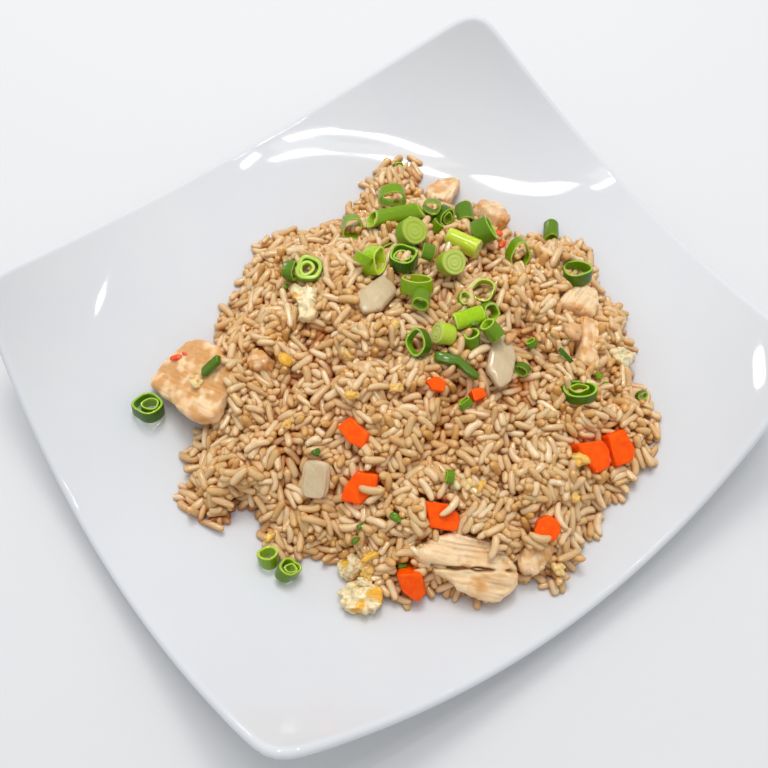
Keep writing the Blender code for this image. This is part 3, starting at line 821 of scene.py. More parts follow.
patch_centres, patch_directions = patching()
centres = np.concatenate([centres, patch_centres])
directions = np.concatenate([directions, patch_directions])
lengths = np.concatenate([lengths, rng.uniform(6, 10, len(patch_centres)) * MM])
print("grains laid over bare spots:", len(patch_centres))


# %% [markdown]
# A cooked grain is a spindle with blunt ends, slightly flat and slightly bent. Its radius
# follows (1 - |s|^5)^0.42 along the length. One template of a few dozen faces serves all
# grains; arrays of scales, bends and directions then place every copy at once.


# %% Grain meshes
GRAIN_SIDES, GRAIN_RINGS = 7, 7


def grain_template():
    """Unit spindle along x from 1 to -1 with radius 1 in its middle."""
    s = np.cos(np.linspace(0.1, 0.9, GRAIN_RINGS) * math.pi)
    radius = (1 - np.abs(s) ** 6) ** 0.45
    turn = np.arange(GRAIN_SIDES) / GRAIN_SIDES * math.tau
    rings = np.stack(np.broadcast_arrays(s[:, None], radius[:, None] * np.cos(turn),
                                         radius[:, None] * np.sin(turn)), axis=-1)
    return closed_skin(rings, (1, 0, 0), (-1, 0, 0))


def grain_mesh(centre, axis, length, rng, width=1.68 * MM):
    """All grains as one list of points and faces, with how far each point faces upward."""
    template, faces = grain_template()
    count = len(centre)
    side = unit(np.cross(axis, unit(rng.normal(size=(count, 3)))))
    across = np.cross(axis, side)
    thick = width * rng.normal(1, 0.09, count)[:, None]
    flat = thick * rng.uniform(0.84, 1.0, (count, 1))
    bend = rng.normal(0, 0.65, (count, 1)) * MM * (length / (8 * MM))[:, None]
    taper = 1 + rng.normal(0, 0.09, (count, 1)) * template[:, 0]
    x, y, z = template.T
    offsets = (axis[:, None] * (x * length[:, None] / 2)[..., None]
               + side[:, None] * (y * thick * taper + bend * (x * x - 0.4))[..., None]
               + across[:, None] * (z * flat * taper)[..., None])
    points = (centre[:, None] + offsets).reshape(-1, 3)
    facing = side[:, None, 2] * y + across[:, None, 2] * z + axis[:, None, 2] * np.trunc(x)
    shift = (np.arange(count) * len(template))[:, None, None]
    return points, [(part[None] + shift).reshape(-1, part.shape[1]) for part in faces], facing.ravel()


def grain_values(centre, points, facing, rng):
    """Tint: a random shade. Toast: how fried a grain is, more toward the heap's edge.
    Wet: the film of oil that gleams on top of the upper grains.

    Gap shade is painted shade in dark brown: it grows with the depth of a point in the layer
    and on the sides and undersides of the grains. Side shade is painted shade in golden tan
    on the sides and undersides of every grain.
    """
    count, size = len(centre), len(grain_template()[0])
    fraction = heap_fraction(centre[:, 0], centre[:, 1])
    patch = noise_2d(centre[:, 0], centre[:, 1], 22 * MM, 12)
    toast = 0.3 + 0.3 * patch + 0.08 * np.clip((fraction - 0.75) / 0.25, 0, 1)
    toast = np.clip(toast + rng.normal(0, 0.13, count), 0, 1)
    x, y, z = points.T
    top = np.minimum(core_terrain.height(x, y) + LAYER, rice_terrain.height(x, y) + 1 * MM)
    # The painted gap shade fades out over the thin edge of the heap.
    thickness = rice_terrain.height(x, y) - plate_terrain.height(x, y)
    thin = np.clip((thickness - 3 * MM) / (10 * MM), 0, 1)
    depth = np.clip((top - z) / (3.5 * MM) - 0.15, 0, 1) * thin
    # Painted shade: golden tan on the sides and undersides of every grain.
    side_shade = np.clip(0.85 - facing, 0, 0.8)
    # Painted shade: dark brown deep in the layer and on the grains' undersides.
    gap_shade = np.clip(0.85 * depth + 0.25 * np.clip(0.2 - facing, 0, 1), 0, 1)
    wet = np.clip(1.2 * facing, 0, 1) * (1 - depth)
    return {"tint": np.repeat(rng.random(count), size), "toast": np.repeat(toast, size),
            "side_shade": side_shade, "gap_shade": gap_shade, "wet": wet}


def cooked_rice():
    """Oily grains: translucent tan, each of its own shade, toasted where the pan browned them,
    with painted shade in golden tan on their sides and dark brown deep in the heap.
    """
    look = Look("fried_rice_grain", {"Roughness": 0.35, "Specular IOR Level": 0.05,
                                     "Subsurface Weight": 0.25, "Subsurface Scale": 0.0015,
                                     "Coat Roughness": 0.15, "Coat IOR": 1.6})
    look.shader.inputs["Subsurface Radius"].default_value = (1, 0.6, 0.35)
    shade = look.mix(look.attribute("tint"), colour("D8B682"), colour("F6DFB8"))
    fried = look.mix(look.sum(look.attribute("toast"), 0.5), shade, colour("DDA14F"))
    stain = look.mottle(260, 0.35, 0.2)
    oiled = look.mix(look.sum(stain, 0.2), fried, colour("C48228"))
    # Painted shade: golden tan on the grains' sides and undersides.
    side_shade = look.mix(look.attribute("side_shade"), oiled, colour("D69A42"))
    # Painted shade: dark brown deep in the heap and under the grains.
    look.feed("Base Color", look.mix(look.attribute("gap_shade"), side_shade, colour("B25A00")))
    look.feed("Coat Weight", look.attribute("wet"))
    look.bump(900, grit=0.3, depth=0.1 * MM, strength=0.25)
    return look.material


def rice_shade_ground():
    """The darker mass between the grains: its dark brown is painted shade for the gaps."""
    look = Look("rice_painted_shade", {"Roughness": 0.55, "Specular IOR Level": 0.05})
    patches = look.mottle(420, 0.5, 0.2)
    # Painted shade: these dark browns stand for the shade in the gaps between the grains.
    look.feed("Base Color", look.mix(patches, colour("94480C"), colour("BA7830")))
    look.bump(500, depth=0.6 * MM)
    return look.material


# The core shows between the grains in painted shade.
core_points, core_faces = rice_core()
core = add_piece("rice_core", core_points, core_faces, rice_shade_ground(), ["rice_heap"])
grain_look = cooked_rice()
# The deepest grains come first, so that each piece is one layer of the heap.
depth = rice_terrain.height(centres[:, 0], centres[:, 1]) - centres[:, 2]
order = np.argsort(-depth)
layers = np.array_split(order, 3)
for name, members in zip(("rice_bottom_layer", "rice_middle_layer", "rice_top_layer"), layers):
    points, faces, facing = grain_mesh(centres[members], directions[members], lengths[members], rng)
    layer = add_piece(name, points, faces, grain_look,
                      values=grain_values(centres[members], points, facing, rng))
    print(name, len(members), "grains,", sum(len(part) * (part.shape[1] - 2) for part in faces),
          "triangles")

# %% [markdown]
# ## Measuring the toppings' solids
#
# Every topping has a plain solid that says where it lies. Its thickness runs along the one
# direction that all its faces either face or stand square to. The rest is read off in that
# direction's plane: the long axis, the outline by angle and, for a slice of scallion, the
# wall.


# %% Solids
class Solid:
    """Axes, sizes and outline of a topping's solid."""

    def __init__(self, node):
        points, triangles = solid_mesh(node)
        a, b, c = points[triangles].transpose(1, 0, 2)
        normal = np.cross(b - a, c - a)
        area = np.linalg.norm(normal, axis=1)
        normal = normal / area[:, None]
        choices = np.unique(np.round(normal, 3), axis=0)
        agree = np.abs(choices @ normal.T)
        score = ((agree > 0.999) | (agree < 0.03)) @ area / area.sum()
        extent = np.ptp(points @ choices.T, axis=0)
        up = unit(choices[np.argmax(score - 0.02 * extent / extent.max())])
        self.up = up if up[2] > 0 else -up
        level = points - points.mean(axis=0)
        level = level - np.outer(level @ self.up, self.up)
        self.along = np.linalg.eigh(level.T @ level)[1][:, 2]
        self.across = np.cross(self.up, self.along)
        axes = np.stack([self.along, self.across, self.up])
        spots = points @ axes.T
        low, high = spots.min(axis=0), spots.max(axis=0)
        self.half = (high - low) / 2
        middle = (high + low) / 2
        self.centre = middle @ axes
        self.axes = axes
        flat = spots[:, :2] - middle[:2]
        inner = np.abs(spots[:, 2] - middle[2]) < 0.98 * self.half[2]
        flat = flat[inner] if inner.sum() > 5 else flat
        flat = np.unique(np.round(flat / MM, 1), axis=0) * MM
        self.corners = flat[np.argsort(np.arctan2(flat[:, 1], flat[:, 0]))]
        spread = np.linalg.norm((spots[:, :2] - middle[:2]) / self.half[:2], axis=1)
        self.hollow = spread.min() if spread.min() < 0.85 else 0

    def reach(self, turn):
        """Distance from the middle to the outline: each ray is cut with the edge it meets."""
        angle = np.arctan2(self.corners[:, 1], self.corners[:, 0])
        turn = (turn + math.pi) % math.tau - math.pi
        edge = np.searchsorted(angle, turn) - 1
        start = self.corners[edge]
        step = self.corners[(edge + 1) % len(angle)] - start
        ray = np.stack([np.cos(turn), np.sin(turn)], axis=-1)
        return ((start[:, 0] * step[:, 1] - start[:, 1] * step[:, 0])
                / (ray[:, 0] * step[:, 1] - ray[:, 1] * step[:, 0]))

    def world(self, spots):
        return self.centre + spots @ self.axes

    def local(self, points):
        return (points - self.centre) @ self.axes.T


solids = {node: Solid(node) for node in toppings}
print("measured", len(solids), "toppings")

# %% [markdown]
# ## Cut pieces
#
# Carrot dice, onion, egg and chicken are all pillows over an outline: the profile from the
# middle of the top to the middle of the underside is a superellipse, |r|^n + |z|^n = 1. A
# high n gives the crisp edges of a knife cut, a low n the soft bulge of a curd. Relief is
# then pushed along the surface normals.


# %% Pillows
def pillow(solid, crisp, sides=96, rows=44, ragged=0.0, seed=1, crown=0.0, smooth=0):
    """Rings over a solid's outline, evenly spaced along the superellipse profile."""
    bend = np.linspace(0, math.pi, 2000)
    radius = np.abs(np.sin(bend)) ** (2 / crisp)
    height = np.sign(np.cos(bend)) * np.abs(np.cos(bend)) ** (2 / crisp)
    # Across a thin piece the profile is much wider than high, and spacing allows for that.
    wide = solid.half[:2].mean() / solid.half[2]
    run = np.concatenate([[0], np.cumsum(np.hypot(np.diff(radius) * wide, np.diff(height)))])
    even = np.interp(np.linspace(0, run[-1], rows + 2)[1:-1], run, np.arange(2000))
    radius = np.interp(even, np.arange(2000), radius)[:, None]
    height = np.interp(even, np.arange(2000), height)[:, None]
    turn = np.arange(sides) / sides * math.tau
    reach = solid.reach(turn)
    for _ in range(smooth):
        reach = (np.roll(reach, 1) + 2 * reach + np.roll(reach, -1)) / 4
    reach = reach * (1 + ragged * noise_2d(np.cos(turn) * 3, np.sin(turn) * 3, 0.7, seed))
    top = solid.half[2] * (1 + crown * (1 - radius ** 2))
    rings = np.stack(np.broadcast_arrays(radius * reach * np.cos(turn),
                                         radius * reach * np.sin(turn), height * top), axis=-1)
    return rings


def finished(solid, rings, relief):
    """Pushes local rings outward by relief(local points), closes them and places them."""
    normal = grid_normals(rings)
    rings = rings + normal * relief(rings)[..., None]
    spots, faces = closed_skin(rings, rings[0].mean(axis=0), rings[-1].mean(axis=0))
    return solid.world(spots), faces


def carrot_look():
    """Fresh-cut carrot: vivid orange, glassy wet faces with a faint grain."""
    look = Look("carrot_cut", {"Roughness": 0.35, "Specular IOR Level": 0.08,
                               "Coat Weight": 0.2, "Coat Roughness": 0.12})
    grain = look.mottle(330, 0.5, 0.3)
    look.feed("Base Color", look.mix(grain, colour("FF4A00"), colour("FF6400")))
    look.bump(700, depth=0.1 * MM, strength=0.4)
    return look.material


def onion_look():
    """Softened onion: clear whitish flesh with fine pale veins along it."""
    look = Look("onion_flesh", {"Roughness": 0.2, "Subsurface Weight": 0.5,
                                "Subsurface Scale": 0.003, "Coat Weight": 0.3})
    veins = look.mottle(300, 0.4, 0.35, look.stretched((1, 0.12, 1), (0, 0, 0.6)))
    look.feed("Base Color", look.mix(veins, colour("C8B08A"), colour("DAC6A0")))
    look.bump(500, depth=0.1 * MM, strength=0.3)
    return look.material


def egg_look():
    """Scrambled egg: white with yolk showing in patches, lightly browned on some tips."""
    look = Look("scrambled_egg", {"Roughness": 0.3, "Subsurface Weight": 0.3,
                                  "Subsurface Scale": 0.002, "Coat Weight": 0.2})
    white = look.mix(look.mottle(300, 0.5, 0.3), colour("EAD7A2"), colour("F8ECC8"))
    plain = look.mix(look.attribute("yolk"), white, colour("EFB83C"))
    look.feed("Base Color", look.mix(look.mottle(480, 0.2, 0.1), plain, colour("D9A860")))
    look.bump(700, depth=0.2 * MM, strength=0.5)
    return look.material


def chicken_look():
    """Breast meat: cream and peach, seared to a gold-brown in patches, with painted shade in the fibre
    hollows and the split.
    """
    look = Look("chicken_breast", {"Roughness": 0.35, "Specular IOR Level": 0.25,
                                   "Subsurface Weight": 0.3, "Subsurface Scale": 0.003,
                                   "Coat Weight": 0.4, "Coat Roughness": 0.16})
    look.shader.inputs["Subsurface Radius"].default_value = (1, 0.5, 0.25)
    pale = look.mix(look.mottle(90, 0.5, 0.3), colour("EFC48E"), colour("FADEB4"))
    seared = look.mix(look.sum(look.attribute("seared"), 0.8), pale, colour("D69446"))
    # Painted shade: dark brown in the fibre hollows and in the split.
    fibre_shade = look.mix(look.attribute("hollow"), seared, colour("93551F"))
    look.feed("Base Color", fibre_shade)
    look.bump(500, depth=0.3 * MM, strength=0.7)
    return look.material


carrot_skin, onion_skin, egg_skin, chicken_skin = (
    carrot_look(), onion_look(), egg_look(), chicken_look())


def dress_carrot(node):
    solid = solids[node]
    seed = sum(map(ord, node))
    rings = pillow(solid, crisp=16, smooth=1)

    def relief(p):
        return 0.25 * MM * noise(p, 4 * MM, seed) + 0.06 * MM * noise(p, 0.9 * MM, seed + 1)

    points, faces = finished(solid, rings, relief)
    return add_piece(node + "_dice", points, faces, carrot_skin, [node])


def dress_onion(node):
    solid = solids[node]
    seed = sum(map(ord, node))
    rings = pillow(solid, crisp=4.5, smooth=2, ragged=0.04, seed=seed)
    # A layer of onion keeps the curl of the bulb it was cut from.
    curl = -(rings[..., 1] / solid.half[1]) ** 2 * 0.9 * MM
    rings[..., 2] += curl + 0.45 * MM

    def relief(p):
        veins = noise(p, np.array([9, 0.9, 3]) * MM, seed)
        return 0.10 * MM * veins + 0.3 * MM * noise(p, 4 * MM, seed + 1)

    points, faces = finished(solid, rings, relief)
    return add_piece(node + "_slice", points, faces, onion_skin, [node])


# Egg pieces that are nearly all white, and those that are mostly yolk.
WHITE_EGG = {"egg_1", "egg_3", "egg_4"}


def dress_egg(node):
    """A curd: ridged noise folds it, and the yolk shows in patches of a noise of its own."""
    solid = solids[node]
    seed = sum(map(ord, node))
    rings = pillow(solid, crisp=2.8, sides=140, rows=70, ragged=0.2, seed=seed, smooth=3)
    made = {}

    def relief(p):
        bent = p + 1.5 * MM * np.stack([noise(p, 6 * MM, seed + k) for k in (5, 6, 7)], axis=-1)
        folds = 1 - 2 * np.abs(noise(bent, np.array([5.5, 2.6, 3]) * MM, seed)) ** 0.7
        base = 0.31 if node in WHITE_EGG else 0.05
        made["yolk"] = np.clip((noise(p, 4 * MM, seed + 3) - base) * 5, 0, 1)
        return (1.2 * MM * folds + 0.7 * MM * noise(p, 5 * MM, seed + 1)
                + 0.2 * MM * noise(p, 0.9 * MM, seed + 2))

    points, faces = finished(solid, rings, relief)
    yolk = np.concatenate([made["yolk"].ravel(), [0, 0]])
    return add_piece(node + "_curd", points, faces, egg_skin, [node],
                     values={"yolk": yolk})


# Fibre direction from the long axis in degrees for each slice of chicken.
FIBRES = {"chicken_left": 15, "chicken_front": 10, "chicken_front_small": 60, "chicken_fold": 25,
          "chicken_strip": 5, "chicken_top": 10, "chicken_curl": 70, "chicken_chunk": 40}
# How strongly the fibres show, and how much of each slice is seared.
FIBRE_DEPTH = {"chicken_left": 0.4, "chicken_front": 1.3}
SEARED = {"chicken_left": 0.85, "chicken_front": 0.25, "chicken_front_small": 0.7,
          "chicken_chunk": 0.75, "chicken_curl": 0.7, "chicken_top": 0.6}
# A split in the front slice, from plan point to plan point in mm.
SPLIT = ((-42, -85), (-15, -105))


def dress_chicken(node):
    """A torn slice: stepped flakes and fine ridges run along the fibres."""
    solid = solids[node]
    seed = sum(map(ord, node))
    rings = pillow(solid, crisp=4.5, sides=200, rows=100, ragged=0.05, seed=seed, smooth=2)
    turn = math.radians(FIBRES[node])
    grain = np.array([[math.cos(turn), math.sin(turn), 0], [-math.sin(turn), math.cos(turn), 0],
                      [0, 0, 1]])
    strength = FIBRE_DEPTH.get(node, 0.8)
    made = {}

    def relief(p):
        along = (p + 0.8 * MM * noise(p, 7 * MM, seed + 9)[..., None]) @ grain.T
        fibre = noise(along, np.array([13, 0.75, 2.0]) * MM, seed)
        flakes = noise(along, np.array([12, 2.6, 3.5]) * MM, seed + 1)
        step = np.clip(flakes * 7, -1, 1)
        height = (strength * (0.25 * fibre + 0.3 * step) + 0.8 * noise(p, 8 * MM, seed + 2)
                  + 0.2 * noise(p, 1.5 * MM, seed + 3)) * MM
        # The hollow value is painted shade along the fibre hollows.
        hollow = np.clip(-fibre * 1.3 - 0.25, 0, 1) * 0.4 * min(strength, 1)
        made["seared"] = np.clip((noise(p, 7 * MM, seed + 4) + 0.6 * noise(p, 2.5 * MM, seed + 5)
                                  + SEARED.get(node, 0.5) - 0.5) * 1.8, 0, 1)
        if node == "chicken_front":
            place = solid.world(p.reshape(-1, 3)).reshape(p.shape)
            start, end = np.array(SPLIT) * MM
            way = end - start
            from_start = place[..., :2] - start
            share = np.clip((from_start @ way) / (way @ way), 0, 1)
            apart = np.linalg.norm(from_start - share[..., None] * way, axis=-1)
            apart = apart + 1.2 * MM * noise(place, 4 * MM, 5)
            cut = np.exp(-(apart / (0.5 * MM)) ** 2) * (p[..., 2] > 0)
            height = height - 2.2 * MM * cut
            # The split takes the painted shade in full.
            hollow = np.maximum(hollow, cut)
        made["hollow"] = hollow
        return height

    points, faces = finished(solid, rings, relief)
    values = {name: np.concatenate([value.ravel(), [0, 0]]) for name, value in made.items()}
    return add_piece(node + "_slice", points, faces, chicken_skin, [node],
                     values=values)


for node in toppings:
    dress = {"carrot": dress_carrot, "onion": dress_onion, "egg": dress_egg,
             "chicken": dress_chicken}.get(node.split("_")[0])
    if dress:
        piece = dress(node)
print("cut pieces done")

# %% [markdown]
# ## Sliced scallion
#
# A slice of scallion leaf is a short tube. Its wall's section is a small rounded bar, and
# that section carried once round an oval gives the slice: dark skin outside, a pale rim
# where the knife went, lighter green within. Slices from the white end are solid, with rings
# like an onion's. Squeezed, torn and nested slices are what makes a pile look real, so each
# gets its own waviness, and some hold an inner leaf.


# %% Scallion slices
def leaf_look():
    """Wet leaf: tone runs from dark green to lime, rims are pale, the hollow is lighter."""
    look = Look("scallion_leaf", {"Roughness": 0.3, "Specular IOR Level": 0.1,
                                  "Subsurface Weight": 0.1, "Subsurface Scale": 0.001,
                                  "Coat Weight": 0.6, "Coat Roughness": 0.08})
    tone = look.attribute("tone")
    deep = look.mix(tone, colour("0E3E04"), colour("A8CC08"))
    veins = look.mottle(900, 0.45, 0.3)
    outer = look.mix(look.sum(veins, 0.35), deep, colour("4C8A06"))
    inner = look.mix(tone, colour("559404"), colour("C2DC28"))
    wall = look.mix(look.attribute("inside"), outer, inner)
    rim = look.mix(tone, colour("93BE30"), colour("D4E060"))
    look.feed("Base Color", look.mix(look.attribute("cut"), wall, rim))
    look.bump(600, grit=0.3, depth=0.12 * MM, strength=0.35)
    return look.material


def stem_look():
    """The pale end of the plant: rings of cream and light green on the cut, lime skin."""
    look = Look("scallion_stem", {"Roughness": 0.3, "Specular IOR Level": 0.1,
                                  "Subsurface Weight": 0.25, "Subsurface Scale": 0.002,
                                  "Coat Weight": 0.5, "Coat Roughness": 0.1})
    tone = look.attribute("tone")
    skin = look.mix(tone, colour("5C9410"), colour("C6D83C"))
    core = look.mix(tone, colour("A8BC3C"), colour("D8DC80"))
    face = look.mix(look.attribute("ring"), core, colour("93AE22"))
    look.feed("Base Color", look.mix(look.attribute("cut"), skin, face))
    look.bump(700, depth=0.08 * MM, strength=0.3)
    return look.material


leaf, stem = leaf_look(), stem_look()
# How light each slice is, from 0, the dark leaf tips, to 1, the pale stem.
TONES = {"scallion_dark": 0.05, "scallion_upright": 0.25, "scallion_crumpled": 0.15,
         "scallion_twin": 0.3, "scallion_loose_left": 0.1, "scallion_loose_right": 0.3,
         "scallion_loose_front_1": 0.55, "scallion_loose_front_2": 0.3, "scallion_right": 0.15,
         "scallion_squeezed": 0.12, "scallion_open": 0.45, "scallion_band": 0.6,
         "scallion_lime": 1, "scallion_lime_tube": 1, "scallion_thin": 0.7,
         "scallion_pale_slant": 0.95, "scallion_pale_face": 0.8, "scallion_disc": 0.55,
         "scallion_core": 0.2, "scallion_stalk": 0.5, "scallion_arc": 0.25,
         "scallion_layered": 0.4, "scallion_back": 0.5, "scallion_back_left": 0.45,
         "scallion_left_of_strip": 0.12, "scallion_front": 0.35, "scallion_front_right": 0.4,
         "scallion_behind_lime": 0.35, "scallion_under_band": 0.35}
NESTED = {"scallion_dark", "scallion_layered", "scallion_loose_left", "scallion_upright",
          "scallion_squeezed", "scallion_crumpled", "scallion_loose_front_2"}


def leaf_ring(half, wall, seed, sides=72):
    """A rounded bar as the wall's section, carried round an oval with a few soft dents."""
    turn = np.arange(sides) / sides * math.tau
    bar = np.linspace(0, math.tau, 25)[:-1]
    # Section: across the wall by w cos^(1/2), along the tube by h sin^(1/4).
    across = np.sign(np.cos(bar)) * np.abs(np.cos(bar)) ** 0.5
    height = np.sign(np.sin(bar)) * np.abs(np.sin(bar)) ** 0.25
    rng = np.random.default_rng(seed)
    dent = sum(rng.uniform(0.01, 0.06) * np.cos(k * turn + rng.uniform(0, math.tau))
               for k in (2, 3, 4))
    slope = rng.uniform(-0.15, 0.15, 2)
    radial = 1 + dent - wall / 2 / half[0] + across[:, None] * wall / 2 / half[0]
    x = radial * half[0] * np.cos(turn)
    y = radial * half[1] * np.sin(turn)
    edge = 1 + slope[0] * np.cos(turn) + slope[1] * np.sin(turn)
    flare = 1 + 0.05 * height[:, None] * rng.uniform(-1, 1)
    z = height[:, None] * half[2] * edge
    rings = np.stack(np.broadcast_arrays(x * flare, y * flare, z), axis=-1)
    cut = np.clip((np.abs(height) - 0.9) / 0.08, 0, 1) * (np.abs(across) < 0.97)
    inside = (across < 0).astype(float)
    return rings[::-1], cut[::-1], inside[::-1]


def dress_leaf(node):
    solid = solids[node]
    seed = sum(map(ord, node))
    wall = (1 - solid.hollow) * solid.half[0]
    sizes = [(solid.half * 1.0, wall)]
    if node in NESTED:
        inner = solid.half * np.array([0.62, 0.58, 0.9])
        sizes.append((inner, wall * 0.8))
    parts = []
    for number, (half, thick) in enumerate(sizes):
        rings, cut, inside = leaf_ring(half, thick, seed + number)
        drift = seed % 7
        shift = np.array([math.cos(drift), math.sin(drift), 0.05]) * 0.25 * half * number
        spots = (rings + shift).reshape(-1, 3)
        sides = rings.shape[1]
        tone = min(TONES.get(node, 0.35) + 0.3 * number, 1)
        parts.append((solid.world(spots), [ring_faces(*rings.shape[:2], wrap_rows=True)],
                      {"cut": np.repeat(cut, sides), "inside": np.repeat(inside, sides),
                       "tone": tone}))
    points, faces, values = joined(parts)
    return add_piece(node + "_slice", points, faces, leaf, [node], values)


def dress_stem(node):
    """A solid slice: flat cut faces with raised rings, round edges and a smooth skin."""
    solid = solids[node]
    seed = sum(map(ord, node))
    turn = np.arange(64) / 64 * math.tau
    face = np.linspace(0.06, 0.93, 18)
    side = np.linspace(0.9, -0.9, 9)
    radius = np.concatenate([face, [0.975], np.ones(len(side)), [0.975], face[::-1]])
    height = np.concatenate([np.ones(len(face)), [0.975], side, [-0.975], -np.ones(len(face))])
    bands = 0.5 + 0.5 * np.cos(radius * 3 * math.tau)
    swell = 0.25 * MM * bands * (np.abs(height) > 0.99) * np.sign(height)
    dent = 1 + 0.03 * np.cos(2 * turn + seed) + 0.02 * np.cos(3 * turn + 2 * seed)
    x = radius[:, None] * solid.half[0] * dent * np.cos(turn)
    y = radius[:, None] * solid.half[1] * dent * np.sin(turn)
    z = np.broadcast_to((height * solid.half[2] + swell)[:, None], x.shape)
    rings = np.stack([x, y, z], axis=-1)
    spots, faces = closed_skin(rings, rings[0].mean(axis=0), rings[-1].mean(axis=0))
    cut = np.append(np.repeat((np.abs(height) > 0.97).astype(float), 64), [1, 1])
    ring = np.append(np.repeat(np.where(radius < 0.95, bands * radius, 0.2), 64), [0, 0])
    return add_piece(node + "_slice", solid.world(spots), faces, stem, [node],
                     {"cut": cut, "ring": ring, "tone": np.full(len(spots), TONES.get(node, 0.8))})


def dress_strip(node):
    """A flat shred of leaf."""
    solid = solids[node]
    seed = sum(map(ord, node))
    rings = pillow(solid, crisp=5, smooth=2, rows=30)
    rings[..., 2] += 0.6 * MM * np.sin(rings[..., 0] / solid.half[0] * 2)

    def relief(p):
        return 0.12 * MM * noise(p, np.array([8, 0.8, 3]) * MM, seed)

    points, faces = finished(solid, rings, relief)
    count = len(points)
    return add_piece(node + "_shred", points, faces, leaf, [node],
                     {"cut": np.zeros(count), "inside": np.zeros(count),
                      "tone": np.full(count, 0.2)})


for node in toppings:
    if node in ("scallion_strip", "scallion_on_chicken"):
        dress_strip(node)
    elif node.startswith("scallion"):
        (dress_leaf if solids[node].hollow else dress_stem)(node)
print("scallions done")

# %% [markdown]
# ## Small bits
#
# What makes the plate look cooked rather than assembled is small: crumbs of egg, specks of
# leaf and chili, a bead of yolk. They lie on the finished heap, so their heights are read
# off the grains' own tops. Each kind is one piece of many small closed shapes.


# %% Laying small bits
def resting_height(x, y):
    """Height of the highest grain or topping close by, else of the plate."""
    beads = centres[:, None] + directions[:, None] * (
        np.linspace(-1, 1, BEADS) * (lengths[:, None] / 2 - BEAD_RADIUS))[..., None]
    tops = np.concatenate([beads.reshape(-1, 3) + [0, 0, BEAD_RADIUS], obstacles])
    near = np.hypot(tops[:, 0] - x, tops[:, 1] - y) < 1.6 * MM
    ground = float(plate_terrain.height(np.array([x]), np.array([y]))[0])
    return max(tops[near, 2].max() if near.any() else ground, ground)


def crumb(x, y, size, seed, flat=0.7, rough=0.25, sides=18, rows=10):
    """A lumpy ball of the given size in mm, sunk a little into what it lies on."""
    rng = np.random.default_rng(seed)
    down = np.linspace(0, math.pi, rows + 2)[1:-1, None]
    turn = np.arange(sides) / sides * math.tau
    ball = np.stack(np.broadcast_arrays(np.sin(down) * np.cos(turn), np.sin(down) * np.sin(turn),
                                        np.cos(down)), axis=-1)
    swell = 1 + rough * noise(ball, 0.7, seed) + rough * 0.6 * noise(ball, 0.35, seed + 1)
    stretch = np.array([rng.uniform(0.9, 1.5), rng.uniform(0.7, 1.0), flat])
    spots, faces = closed_skin(ball * swell[..., None], (0, 0, 1), (0, 0, -1))
    spots = spots * stretch * size / 2 * MM
    yaw = rng.uniform(0, math.tau)
    turned = spots @ np.array([[math.cos(yaw), math.sin(yaw), 0],
                               [-math.sin(yaw), math.cos(yaw), 0], [0, 0, 1]])
    height = resting_height(x * MM, y * MM) + size * MM * flat * 0.25
    return turned + [x * MM, y * MM, height], faces


def crumbs(name, look, slot, bits, values=None, **shape):
    """One piece from (x, y, size) in mm for each bit."""
    parts = []
    for number, (x, y, size) in enumerate(bits):
        spots, faces = crumb(x, y, size, 100 + 7 * number, **shape)
        given = {key: value[number] for key, value in (values or {}).items()}
        parts.append((spots, faces, given))
    points, faces, merged = joined(parts)
    return add_piece(name, points, faces, look, values=merged)


# Crumbs of egg around the larger curds: x, y and size in mm, then how much yolk is in each.
EGG_CRUMBS = ((-76, 35, 5), (-86, -35, 4), (-59, -67, 5), (-20, 4, 4.5), (-31, -15, 4),
              (-13, -21, 4.5), (-56, -5, 4), (-16, -65, 6), (-12, -69, 5), (-9, -72, 4),
              (32, -85, 6), (22, -96, 4), (0, -114, 5), (4, 4, 4), (-62, -70, 6), (-66, -73, 4))
YOLKS = (0.4, 0.9, 1.0, 0.7, 0.9, 0.7, 0.8, 0.1, 0.5, 0.9, 0.9, 0.8, 0.5, 0.7, 0.8, 0.1)
egg_bits = crumbs("egg_crumbs", egg_skin, "egg", EGG_CRUMBS, {"yolk": YOLKS}, rough=0.6)
yolk_ball = crumbs("yolk_bead", egg_skin, "egg", ((-41, 20, 5.5),), {"yolk": (1.0,)}, flat=0.9)

# Bits of browned chicken.
CHICKEN_BITS = ((63, -41, 7), (38, -30, 5))
# A hollow of 0.1 gives each bit a little painted shade all over.
chicken_bits = crumbs("chicken_bits", chicken_skin, "chicken", CHICKEN_BITS,
                      {"seared": (0.7, 0.9), "hollow": (0.1, 0.1)}, rough=0.4)


def chili_look():
    look = Look("chili_flake", {"Roughness": 0.25, "Subsurface Weight": 0.2,
                                "Subsurface Scale": 0.001})
    look.feed("Base Color", look.mix(look.mottle(500, 0.5, 0.2), colour("E0340A"),
                                     colour("F0691E")))
    return look.material


chili = crumbs("chili_flakes", chili_look(), "carrot",
               ((76, 21, 3), (74, 16, 3.5), (-77, 52, 4), (-73, 51, 2)), flat=0.4)

# Specks of leaf, then small slices of it: x, y and size in mm.
FLECKS = ((-53, -20, 4), (-60, -59, 3), (-55, -56, 3.5), (-43, -62, 4.5), (-50, -77, 3),
          (28, -18, 3), (-20, 52, 3), (62, -62, 4), (64, -66, 4))
flecks = crumbs("leaf_flecks", leaf, "scallion_green", FLECKS,
                {"tone": [0.15 + 0.04 * k for k in range(len(FLECKS))], "cut": [0] * len(FLECKS),
                 "inside": [0] * len(FLECKS)}, flat=0.35)


